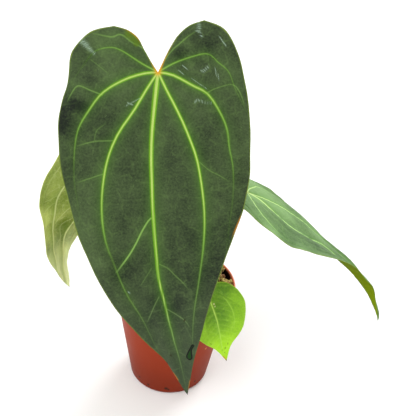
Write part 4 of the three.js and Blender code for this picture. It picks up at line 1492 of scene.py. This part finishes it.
def moss_shells(settings):
    """Loose strands as one mesh: each is a thin three-sided tube along a bent line that
    follows the surface, held off it, inside the wall and out of the dark hollow."""
    mix = settings.substrate
    random = np.random.default_rng(STRAND_SEED)
    count = mix.moss_strands
    wall = inner_radius(settings.pot, mix.level / MM) - 0.5
    angle = random.uniform(0, 2 * np.pi, count)
    reach = CROWN_CLEARANCE + (wall - CROWN_CLEARANCE) * np.sqrt(random.uniform(0, 1, count))
    heading = random.uniform(0, 2 * np.pi, count)
    length = random.uniform(*STRAND_LENGTH, count)
    curl = random.normal(0, 0.9, count)

    t = np.linspace(-0.5, 0.5, STRAND_RINGS)
    bearing = heading[:, None] + curl[:, None] * 2 * t
    pace = length[:, None] / (STRAND_RINGS - 1)
    steps = around_axis(pace, 0, bearing)[..., :2]
    track = np.cumsum(steps, axis=1) - steps.sum(1, keepdims=True) / 2
    centre = around_axis(reach, 0, angle)[:, :2]
    on_heap = random.normal(HEAP_PLACE, 7, (count, 2))
    gathered = random.uniform(0, 1, count) < STRANDS_ON_HEAP
    track += np.where(gathered[:, None], on_heap, centre)[:, None]
    radius = np.linalg.norm(track, axis=-1, keepdims=True)
    track *= np.clip(radius, CROWN_CLEARANCE, wall) / radius

    x, y = track[..., 0], track[..., 1]
    lift = random.uniform(0.0, 2.2, count)[:, None] + 0.8 * by_heap(x, y, 12)
    arch = random.uniform(0, 1.6, count)[:, None] * (1 - 4 * t**2)
    tilt = random.uniform(-1.4, 1.4, count)[:, None] * t
    hollow = hollow_share(x, y)
    height = soil_height(settings, x, y) + lift + arch + tilt - HOLLOW_DEPTH * hollow**2
    centres = np.stack([x, y, height], -1)
    along = unit(np.gradient(centres, axis=1))
    side = unit(np.cross(along, (0, 0, 1)))
    thin = random.uniform(*STRAND_RADIUS, count)[:, None] * np.sqrt(1.05 - 4 * t**2)
    ways = spokes(side, np.cross(side, along), np.arange(3) * 2 * np.pi / 3)
    points = centres[:, :, None] + ways * thin[..., None, None]
    keep = hollow.max(1) < 0.4
    tone = random.beta(1.4, 1.0, count)[keep]

    size = 3 * STRAND_RINGS
    starts = (np.arange(len(tone)) * size)[:, None, None]
    body = grid_faces(STRAND_RINGS, 3, closed=True)[:, ::-1]
    caps = np.array([[1, 2, 0], [size - 1, size - 2, size - 3]])
    faces = [(body + starts).reshape(-1, 4), (caps + starts).reshape(-1, 3)]
    return points[keep].reshape(-1, 3), faces, np.repeat(tone, size)


class ANTHURIUM_OT_substrate(bpy.types.Operator):
    """Builds the potting mix: its fine body, the bark on it and the strands of dry moss"""

    bl_idname = "anthurium.substrate"
    bl_label = "Substrate"

    def execute(self, context):
        settings = context.scene.anthurium
        mix = settings.substrate
        points, faces, hollow = soil_shell(settings)
        make_piece(
            "soil_body", points, faces, soil_material(mix), "potting_mix", ["substrate"],
            fields={"hollow": hollow},
        )
        points, faces, tone = chip_shells(*bark_places(settings), seed=3)
        make_piece(
            "bark_pieces", points, faces, bark_material(mix), "potting_mix", smooth=False,
            fields={"tone": tone},
        )
        points, faces, tone = moss_shells(settings)
        make_piece(
            "moss_strands", points, faces, moss_material(mix), "potting_mix",
            fields={"tone": tone},
        )
        return {"FINISHED"}


# Stem, stalks and sheaths


def crown_shell():
    """Stem and crown: a profile turned round Z, with a ring at each old leaf and random
    bumps pushed out from the axis."""
    corners = [
        (0, STEM_FOOT), (STEM_RADIUS - 2, STEM_FOOT), (STEM_RADIUS, STEM_FOOT + 6),
        (STEM_RADIUS, CROWN_TOP - 20), (CROWN_RADIUS - 1, CROWN_TOP - 12),
        (CROWN_RADIUS, CROWN_TOP - 6), (CROWN_RADIUS - 0.8, CROWN_TOP - 1.5),
        (CROWN_RADIUS - 2, CROWN_TOP), (0, CROWN_TOP),
    ]
    outline = rounded(corners, 3, 6)
    run = run_along(outline)
    even = np.linspace(0.01, 0.995, 90) * run[-1]
    profile = np.stack([np.interp(even, run, outline[:, k]) for k in range(2)], -1)
    profile = np.vstack([outline[0], profile, outline[-1]])
    points, faces = turned(profile, 60)
    radius = np.hypot(points[:, 0], points[:, 1])
    rings = 0.25 * np.abs(np.sin(points[:, 2] * 0.9)) ** 4 * (radius > 4)
    bumps = 0.22 * rolling(points, 3.5, 8) * (radius > 2)
    push = (rings + bumps) / np.maximum(radius, 1)
    points[:, :2] *= (1 - 0.03 + push)[:, None]
    return points, faces


def root_radius(share):
    """Radius of a root, thinner towards its end."""
    return ROOT_RADIUS * (1 - 0.35 * share)


def root_shells():
    """Roots: slightly knobbly tubes."""
    tubes = [tube(route, root_radius, 18, 70, 0.07, order) for order, route in enumerate(ROOTS)]
    return joined([made[:2] for made in tubes])


class ANTHURIUM_OT_stem(bpy.types.Operator):
    """Builds the stem with its crown, and the roots that grow from it"""

    bl_idname = "anthurium.stem"
    bl_label = "Stem and roots"

    def execute(self, context):
        stem = context.scene.anthurium.stem
        skin = skin_material(
            "crown_skin", stem.crown_colour, stem.scar_colour, (0.004, 0.004, 0.0012), 0.7
        )
        make_piece("stem_and_crown", *crown_shell(), skin, "stem_skin", ["stem"])
        skin = skin_material("root_skin", stem.root_colour, stem.scar_colour, (0.002,) * 3, 0.75)
        make_piece("roots", *root_shells(), skin, "stem_skin")
        return {"FINISHED"}


def stalk_shell(blade_name):
    """Leaf stalk: a tube with a thick foot that thins by an exponential, and a swollen knee
    that meets the under side of its blade."""
    blade = BLADES[blade_name]
    frames = blade_spine(blade)
    depth = CAD_BLADE_THICKNESS + CAD_RIB_HEIGHT + CAD_STALK_GAP + KNEE_LENGTH * 0.5
    lifts = np.array([-depth, -BLADE_THICKNESS])
    ends = bend_blade(blade, frames, np.zeros(2), np.full(2, KNEE_RADIUS * 1.2), lifts)
    route = np.vstack([STALKS[blade_name], ends])
    length = run_along(route_curve(route, np.linspace(0, 1, 200)))[-1]

    def radius_at(share):
        foot = (STALK_BASE_RADIUS - STALK_RADIUS) * np.exp(-share * length / 12)
        swell = falling(length * (1 - share) / KNEE_LENGTH, 0.5, 1.6)
        return STALK_RADIUS + foot + (KNEE_RADIUS - STALK_RADIUS) * swell

    points, faces, share, around = tube(route, radius_at, 24, 110, 0.012, len(blade_name))
    knee = falling(length * (1 - share) / KNEE_LENGTH, 0.6, 1.7)
    return points, faces, share, knee, np.stack([around, share * length / 10], -1)


class ANTHURIUM_OT_stalks(bpy.types.Operator):
    """Builds the four leaf stalks, each from the crown to the knee under its blade"""

    bl_idname = "anthurium.stalks"
    bl_label = "Leaf stalks"

    def execute(self, context):
        skin = stalk_material(context.scene.anthurium.stem)
        for name in BLADES:
            points, faces, share, knee, flat = stalk_shell(name)
            make_piece(
                f"{name}_stalk", points, faces, skin, "leaf_stalk", [f"stalk_{name}"],
                fields={"share": share, "knee": knee}, flat=flat,
            )
        return {"FINISHED"}


def sheath_shell(side, seed):
    """Dry sheath: a narrow pointed scale curved round the crown, leaning out as it rises,
    with a slight cockle and a thin edge. Both faces are grids, joined round the edge."""
    columns, rows = 48, 70
    across, up = np.meshgrid(np.linspace(-0.5, 0.5, columns), np.linspace(0, 1, rows))
    narrow = 1 - 0.93 * up**1.7
    angle = np.radians(side) + np.radians(SHEATH_WRAP) * narrow * across
    cockle = 0.5 * rolling(np.stack([across * 14, up * 20], -1), 9, seed) * up
    lean = CROWN_RADIUS + SHEATH_GAP + 6 * up**1.5 + cockle
    thick = SHEATH_THICKNESS * 0.6 * (1 - 0.7 * up) * (1 - 1.2 * np.abs(across))
    ribs = 0.06 * np.sin(across * 90) * (1 - up)
    height = CROWN_TOP - 4 + SHEATH_HEIGHT * up * (1 - 0.02 * np.cos(across * 6))
    radii = (lean + 0.15, lean + 0.15 + thick + 0.05 + ribs)
    points = np.vstack([around_axis(radius, height, angle).reshape(-1, 3) for radius in radii])
    inner = grid_faces(rows, columns)
    outer = grid_faces(rows, columns, rows * columns)[:, ::-1]
    number = np.arange(rows * columns).reshape(rows, columns)
    rim = np.concatenate([number[0], number[1:, -1], number[-1, -2::-1], number[-2:0:-1, 0]])
    after = np.roll(rim, -1)
    wall = np.stack([after, rim, rim + rows * columns, after + rows * columns], -1)
    flat = np.tile(np.stack([across * narrow, up], -1).reshape(-1, 2), (2, 1))
    return points, [inner, outer, wall], flat


class ANTHURIUM_OT_sheaths(bpy.types.Operator):
    """Builds the dry sheaths round the crown"""

    bl_idname = "anthurium.sheaths"
    bl_label = "Dry sheaths"

    def execute(self, context):
        paper = sheath_material(context.scene.anthurium.stem)
        for order, side in enumerate(SHEATH_SIDES, 1):
            points, faces, flat = sheath_shell(side, 20 + order)
            make_piece(
                f"dry_sheath_{order}", points, faces, paper, "dry_sheath",
                [f"sheath_{order}"], flat=flat,
            )
        return {"FINISHED"}


# Blades


def blade_stretch(blade):
    """Scale of a blade's flat form across and along."""
    return np.array([blade["scale"] * blade["widen"], blade["scale"]])


def margin_bumps(across, marks):
    """Sum of bumps along the margin, each with its place, spread and height."""
    total = np.zeros(len(across))
    for place, spread, height in marks:
        total += height * np.exp(-(((across - place) / spread) ** 2))
    return total


def flat_blade(form, across, outward):
    """Flat places (rows, columns, 2) of a blade at shares across, from the left sinus edge
    (0) over the tip (4) to the right one (8), and outward from the stalk to the margin: a
    blend of the two neighbouring veins, pushed out to the margin by the share squared."""
    places = np.zeros((len(outward), len(across), 2))
    for side in ("left", "right"):
        chosen = across <= 4 if side == "left" else across > 4
        half = form[side]
        order = across[chosen] if side == "left" else 8 - across[chosen]
        index = np.minimum(order.astype(int), 3)
        share = (order - index)[:, None]
        tip_line = outward[:, None] * np.array([0, form["length"]])
        lines = np.stack([even_spline(vein, outward) for vein in half["veins"]] + [tip_line])
        inside = lines[index] * (1 - share[:, None]) + lines[index + 1] * share[:, None]
        ends = np.array(half["ends"]) / (len(half["margin"]) - 1)
        first, second = ends[index], ends[index + 1]
        margin = spline(half["margin"], first + share[:, 0] * (second - first))
        chord = spline(half["margin"], first) * (1 - share) + spline(half["margin"], second) * share
        push = (margin - chord)[:, None] * (outward**2)[None, :, None]
        places[:, chosen] = np.moveaxis(inside + push, 0, 1)
    return places


def blade_spine(blade):
    """Frames a step apart along the blade's bent midrib, from behind the lobes to the tip:
    centres, directions along, across and up, and the number of the frame at the stalk.
    Each step turns the last frame by droop, sway and twist."""
    length = blade["form"]["length"] * blade["scale"]
    lobe = blade["form"]["lobe"] * blade["scale"]
    faces, tilt, turn = np.radians([blade["faces"], blade["tilt"], blade["turn"]])
    down = np.array([np.sin(faces) * np.sin(tilt), -np.cos(faces) * np.sin(tilt), -np.cos(tilt)])
    level = np.array([np.cos(faces), np.sin(faces), 0])
    along = down * np.cos(turn) + level * np.sin(turn)
    across = level * np.cos(turn) - down * np.sin(turn)
    start = (np.array(blade["joins"], float), along, across, np.cross(along, across))

    def march(steps, way, bends):
        frames = [start]
        for step in range(steps):
            centre, along, across, up = frames[-1]
            droop, sway, twist = bends((step + 0.5) * SPINE_STEP)
            turned_along = unit(along - way * droop * SPINE_STEP * up + sway * SPINE_STEP * across)
            turned_across = across - sway * SPINE_STEP * along + twist * SPINE_STEP * up
            turned_across = unit(turned_across - turned_along * (turned_across @ turned_along))
            centre = centre + (along + turned_along) * way * SPINE_STEP / 2
            turned_up = np.cross(turned_along, turned_across)
            frames.append((centre, turned_along, turned_across, turned_up))
        return frames

    def tipward(distance):
        bends = [ramp(blade[key], distance / length) for key in ("droop", "sway", "twist")]
        return np.radians(bends) / length

    towards_tip = march(int(np.ceil(length / SPINE_STEP)), 1, tipward)
    lobe_bend = (np.radians(blade["lobe_droop"]) / lobe, 0, 0)
    towards_lobes = march(int(np.ceil(lobe / SPINE_STEP)), -1, lambda distance: lobe_bend)
    frames = towards_lobes[:0:-1] + towards_tip
    return [np.array(column) for column in zip(*frames)] + [len(towards_lobes) - 1]


def bend_blade(blade, frames, across, along, lift):
    """Bends flat places into space. Each half leaves the midrib at its fold angle and turns
    down in an arc as it goes out, and lift raises a place square to the surface."""
    centres, _, acrosses, ups, zero = frames
    length = blade["form"]["length"] * blade["scale"]
    half_width = blade["form"]["half_width"] * blade["scale"] * blade["widen"]
    place = np.clip(along / SPINE_STEP + zero, 0, len(centres) - 1.001)
    index = place.astype(int)
    blend = (place - index)[:, None]

    def between(rows):
        return rows[index] * (1 - blend) + rows[index + 1] * blend

    axis, up = unit(between(acrosses)), unit(between(ups))
    side = np.where(across < 0, -1.0, 1.0)
    share = along / length
    bend = {}
    for key in ("fold", "arch"):
        left, right = (ramp(angles, share) for angles in blade[key])
        bend[key] = np.radians(np.where(across < 0, left, right))
    fold, arch = bend["fold"], bend["arch"] / half_width
    end = fold - arch * np.abs(across)
    out = side * (np.sin(fold) - np.sin(end)) / arch
    rise = (np.cos(end) - np.cos(fold)) / arch
    lean = side * end * np.clip(np.abs(across) / 1.5, 0, 1)
    out = out - np.sin(lean) * lift
    rise = rise + np.cos(lean) * lift
    return between(centres) + axis * out[:, None] + up * rise[:, None]


def vein_fields(places, blade):
    """For flat places: distance to the nearest main vein with its half width and strength,
    how far the place lies on its right, and distance and offset to the nearest smaller vein
    with its strength."""
    form, stretch = blade["form"], blade_stretch(blade)
    count = len(places)
    main = np.full(count, np.inf)
    width, strength, vein_side = np.ones(count), np.zeros(count), np.zeros(count)
    steps = np.linspace(0, 1, 31)
    for side in ("left", "right"):
        for order, strengths in form["strengths"][side].items():
            line = form["midrib"] if order == 4 else form[side]["veins"][order]
            line, strengths = blade.get("lines", {}).get((side, order), (line, strengths))
            line = even_spline(line, steps) * stretch
            distance, away, share = nearest(places, line)
            closer = distance < main
            vein_side[closer] = np.clip(-away[:, 0] / (distance + 0.01), 0, 1)[closer]
            main[closer] = distance[closer]
            width[closer] = ramp(form["widths"][order], share)[closer] * blade["scale"] ** 0.5
            strength[closer] = ramp(strengths, share)[closer]
    branch = np.full(count, np.inf)
    offset, branch_strength = np.full((count, 3), 9.0), np.zeros(count)
    for points, line_strength, half_width in blade.get("branches", form["branches"]):
        line = even_spline(points, np.linspace(0, 1, 3 * len(points))) * stretch
        distance, away, share = nearest(places, line)
        closer = distance < branch
        branch[closer] = distance[closer]
        offset[closer, :2] = away[closer] * BRANCH_HALF_WIDTH / half_width
        offset[closer, 2] = 0
        branch_strength[closer] = (line_strength * falling(share, 0.7, 1.15))[closer]
    return {
        "main_vein": main, "main_width": width, "main_strength": strength,
        "vein_side": vein_side,
        "branch_distance": branch, "branch_offset": offset, "branch_strength": branch_strength,
    }


def line_mask(places, lines, stretch):
    """1 on the nearest of some lines, each with its half width, and falling beside it."""
    mask = np.zeros(len(places))
    for *line, width in lines:
        distance = nearest(places, np.array(line) * stretch)[0]
        mask = np.maximum(mask, np.exp(-((distance / width) ** 2)))
    return mask


def spot_mask(places, spots, stretch):
    """1 in the nearest of some spots, each with its radius, and falling round it."""
    mask = np.zeros(len(places))
    for centre, radius in spots:
        distance = np.linalg.norm(places - np.array(centre) * stretch, axis=1)
        mask = np.maximum(mask, falling(distance, 0.7 * radius, 1.5 * radius))
    return mask


def mark_fields(places, name, blade, margin):
    """For flat places: distance to the margin and the wet spot, and masks for the lighter
    and darker parts, the orange sinus edge, scuffs, spots and the way towards the tip."""
    marks = {**NO_MARKS, **MARKS[name]}
    form, stretch = blade["form"], blade_stretch(blade)
    fields = {"edge": nearest(places, margin)[0]}
    for kind in ("scuffs", "warm"):
        fields[kind] = line_mask(places, marks[kind], stretch)
    for kind in ("dark", "pale", "olive"):
        fields[kind] = spot_mask(places, marks[kind], stretch)

    fields["sinus"] = np.zeros(len(places))
    for side in ("left", "right"):
        line = even_spline(form[side]["veins"][0], np.linspace(0, 1, 30)) * stretch
        distance, _, share = nearest(places, line)
        reach = 0.55 + 1.3 * np.exp(-share * 14)
        shown = ramp(marks[f"sinus_{side}"], share) * np.exp(-((distance / reach) ** 2))
        fields["sinus"] = np.maximum(fields["sinus"], shown)

    # Painted light and shade, mixed with some of the blade's own lighter and darker patches.
    fields["shade"] = np.zeros(len(places))
    for centre, radius, amount in marks["light_shade_and_tone"]:
        distance = np.linalg.norm((places - np.array(centre) * stretch) / radius, axis=1)
        fields["shade"] += amount * np.exp(-(distance**2))

    fields["wet"] = np.full(len(places), 99.0)
    if marks["wet"]:
        wet_line = np.array(marks["wet"])
        distance, _, along = nearest(places, wet_line[:, :2] * stretch)
        fields["wet"] = distance - ramp(wet_line[:, 2], along)
    share = places[:, 1] / (form["length"] * blade["scale"])
    fields["tipward"] = 1 - falling(share, 0.5, 1.0)
    return fields


def blade_relief(blade, places, across, outward, fields):
    """Heights of the upper and the under face above the bent reference surface: the ripple
    and lifts of the margin, panels that puff up between the veins, gentle rolls, and the
    veins, sunk above and standing out below."""
    near = np.minimum(fields["main_vein"], fields["branch_distance"] + 1.5)
    inland = 1 - np.exp(-fields["edge"] / 3)
    ripple = blade["ripple"] * np.sin(np.pi * blade["ripples"] * across / 4)
    reference = (ripple + margin_bumps(across, blade.get("lifts", ()))) * outward**3
    reference += blade["quilt"] * ((1 - np.exp(-near / 3.5)) * inland - 0.5)
    reference += blade["rolling"] * rolling(places, 26, 31) * outward
    reference += 0.08 * rolling(places, 5, 32)
    main = fields["main_vein"] / fields["main_width"]
    ridge = fields["main_strength"] * np.exp(-((main / 1.3) ** 2))
    small = fields["branch_strength"] * np.exp(-((fields["branch_distance"] / 0.6) ** 2))
    thickness = EDGE_THICKNESS + (BLADE_THICKNESS - EDGE_THICKNESS) * inland
    upper = reference - 0.3 * ridge - 0.15 * small
    lower = reference - thickness - 0.75 * ridge * (1 - 0.6 * outward) - 0.25 * small
    return upper, lower


def fan_grid(rows, columns, start):
    """Faces of a fan from the point numbered start to a grid's first row, and of the grid."""
    fan = start + 1 + np.arange(columns)
    fan = np.stack([np.full(columns, start), fan + 1, fan], -1)
    return [fan, grid_faces(rows, columns + 1, start + 1)]


def fan_border(rows, columns, start):
    """Numbers of the points round such a fan and grid, from start and back to it."""
    number = start + 1 + np.arange(rows * (columns + 1)).reshape(rows, columns + 1)
    return np.concatenate([[start], number[:, 0], number[-1, 1:], number[-2::-1, -1], [start]])


def edge_wall(outer, inner, step):
    """Wall between two borders where each stretch of the inner one spans step of the outer
    one's: triangles from an inner point to its outer stretches, and one back to the next."""
    faces = []
    for part in range(step):
        faces.append(np.stack([inner[:-1], outer[part:-1:step], outer[part + 1::step]], -1))
    return faces + [np.stack([inner[:-1], outer[step::step], inner[1:]], -1)]


def blade_shell(name):
    """Blade: an upper face of rows and columns that fan out from the stalk, an under face
    on every step of them, and a narrow wall between their edges, all bent into place."""
    blade = BLADES[name]
    columns, rows, step = 8 * blade["columns"], blade["rows"], blade["under_step"]
    across = np.linspace(0, 8, columns + 1)
    outward = np.arange(1, rows + 1) / rows
    drawn = 1 - margin_bumps(across, blade.get("pulls", ())) * outward[:, None] ** 3
    grid = flat_blade(blade["form"], across, outward) * drawn[..., None] * blade_stretch(blade)
    places = np.vstack([[0, 0], grid.reshape(-1, 2)])
    across = np.append(4, np.tile(across, rows))
    outward = np.append(0, np.repeat(outward, columns + 1))
    margin = np.vstack([
        grid[::8, 0], grid[-1, :: max(blade["columns"] // 10, 1)], grid[::-8, -1],
    ])
    fields = {**vein_fields(places, blade), **mark_fields(places, name, blade, margin)}
    upper, lower = blade_relief(blade, places, across, outward, fields)

    frames = blade_spine(blade)
    number = 1 + np.arange(rows * (columns + 1)).reshape(rows, columns + 1)
    kept = np.append(0, number[step - 1::step, ::step])
    top = bend_blade(blade, frames, *places.T, upper)
    bottom = bend_blade(blade, frames, *places[kept].T, lower[kept])
    below = (rows // step, columns // step, len(top))
    faces = fan_grid(rows, columns, 0) + [block[:, ::-1] for block in fan_grid(*below)]
    faces += edge_wall(fan_border(rows, columns, 0), fan_border(*below), step)
    fields = {key: np.concatenate([values, values[kept]]) for key, values in fields.items()}
    fields["under"] = np.repeat([0.0, 1.0], [len(top), len(bottom)])
    flat = np.vstack([places, places[kept]]) / FLAT_UNIT
    return np.vstack([top, bottom]), faces, fields, flat


BLADE_SLOTS = {
    "front": "grown_leaf", "right": "side_leaf", "left": "side_leaf", "young": "young_leaf",
}


class ANTHURIUM_OT_blades(bpy.types.Operator):
    """Builds the four blades with their veins and marks"""

    bl_idname = "anthurium.blades"
    bl_label = "Blades"

    def execute(self, context):
        for name in BLADES:
            points, faces, fields, flat = blade_shell(name)
            skin = blade_material(name, getattr(context.scene.anthurium, name))
            make_piece(
                f"{name}_blade", points, faces, skin, BLADE_SLOTS[name], [f"blade_{name}"],
                fields=fields, flat=flat,
            )
        return {"FINISHED"}


# Stage


def floor(colour):
    """Plain pale floor, far wider than the plant."""
    corners = FLOOR_REACH * np.array([(-1, -1, 0), (1, -1, 0), (1, 1, 0), (-1, 1, 0)])
    ground = new_object("floor", corners, [np.array([[0, 1, 2, 3]])])
    ground.data.materials.append(Shader("floor").finish(colour, 0.9, Specular_IOR_Level=0.1))


def camera():
    """Camera at the photograph's place, looking along +Y and down, rolled a little."""
    data = bpy.data.cameras.new("camera")
    data.lens = CAMERA_LENS
    data.sensor_width = SENSOR_WIDTH
    data.clip_start = 0.01
    eye = bpy.data.objects.new("camera", data)
    bpy.context.scene.collection.objects.link(eye)
    pitch = Matrix.Rotation(np.radians(90 - CAMERA_PITCH), 4, "X")
    roll = Matrix.Rotation(np.radians(CAMERA_ROLL), 4, "Z")
    eye.matrix_world = Matrix.Translation(CAMERA_PLACE) @ pitch @ roll
    bpy.context.scene.camera = eye


def soft_sun(name, strength, turns):
    """Broad soft light from far away."""
    data = bpy.data.lights.new(name, "SUN")
    data.energy = SUN_ENERGY * strength
    data.angle = np.radians(SUN_SPREAD)
    light = bpy.data.objects.new(name, data)
    light.rotation_euler = np.radians(turns)
    bpy.context.scene.collection.objects.link(light)


def lights(stage):
    """Even pale sky, a soft light high up on the left and one from behind on the right."""
    world = bpy.data.worlds.new("sky")
    world.use_nodes = True
    sky = world.node_tree.nodes["Background"]
    sky.inputs["Color"].default_value = (1, 1, 1, 1)
    sky.inputs["Strength"].default_value = stage.sky_strength
    bpy.context.scene.world = world
    soft_sun("key", stage.key_strength, KEY_TURNS)
    soft_sun("back", stage.back_strength, BACK_TURNS)


class ANTHURIUM_OT_stage(bpy.types.Operator):
    """Sets up the floor, the light and the camera"""

    bl_idname = "anthurium.stage"
    bl_label = "Stage"

    def execute(self, context):
        stage = context.scene.anthurium.stage
        context.scene.view_settings.view_transform = "Standard"
        camera()
        lights(stage)
        floor(stage.floor_colour)
        return {"FINISHED"}


class ANTHURIUM_PT_sidebar(bpy.types.Panel):
    """Lists the steps and the values that a user would change"""

    bl_label = "Potted anthurium"
    bl_idname = "ANTHURIUM_PT_sidebar"
    bl_space_type = "VIEW_3D"
    bl_region_type = "UI"
    bl_category = "Anthurium"

    def draw(self, context):
        settings = context.scene.anthurium
        for operator in OPERATORS:
            self.layout.operator(operator.bl_idname)
        for group in PlantSettings.__annotations__:
            box = self.layout.box()
            box.label(text=group.title())
            values = getattr(settings, group)
            for key in values.__annotations__:
                box.prop(values, key)


OPERATORS = (
    ANTHURIUM_OT_stage,
    ANTHURIUM_OT_pot,
    ANTHURIUM_OT_substrate,
    ANTHURIUM_OT_stem,
    ANTHURIUM_OT_stalks,
    ANTHURIUM_OT_sheaths,
    ANTHURIUM_OT_blades,
)
CLASSES = (
    PotSettings,
    SubstrateSettings,
    StemSettings,
    FrontBladeSettings,
    RightBladeSettings,
    LeftBladeSettings,
    YoungBladeSettings,
    StageSettings,
    PlantSettings,
    *OPERATORS,
    ANTHURIUM_PT_sidebar,
)


def register():
    for cls in CLASSES:
        bpy.utils.register_class(cls)
    bpy.types.Scene.anthurium = bpy.props.PointerProperty(type=PlantSettings)


def unregister():
    del bpy.types.Scene.anthurium
    for cls in reversed(CLASSES):
        bpy.utils.unregister_class(cls)


def main():
    register()
    bpy.ops.anthurium.stage()
    bpy.ops.anthurium.pot()
    bpy.ops.anthurium.substrate()
    bpy.ops.anthurium.stem()
    bpy.ops.anthurium.stalks()
    bpy.ops.anthurium.sheaths()
    bpy.ops.anthurium.blades()
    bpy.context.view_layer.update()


if __name__ == "__main__":
    main()
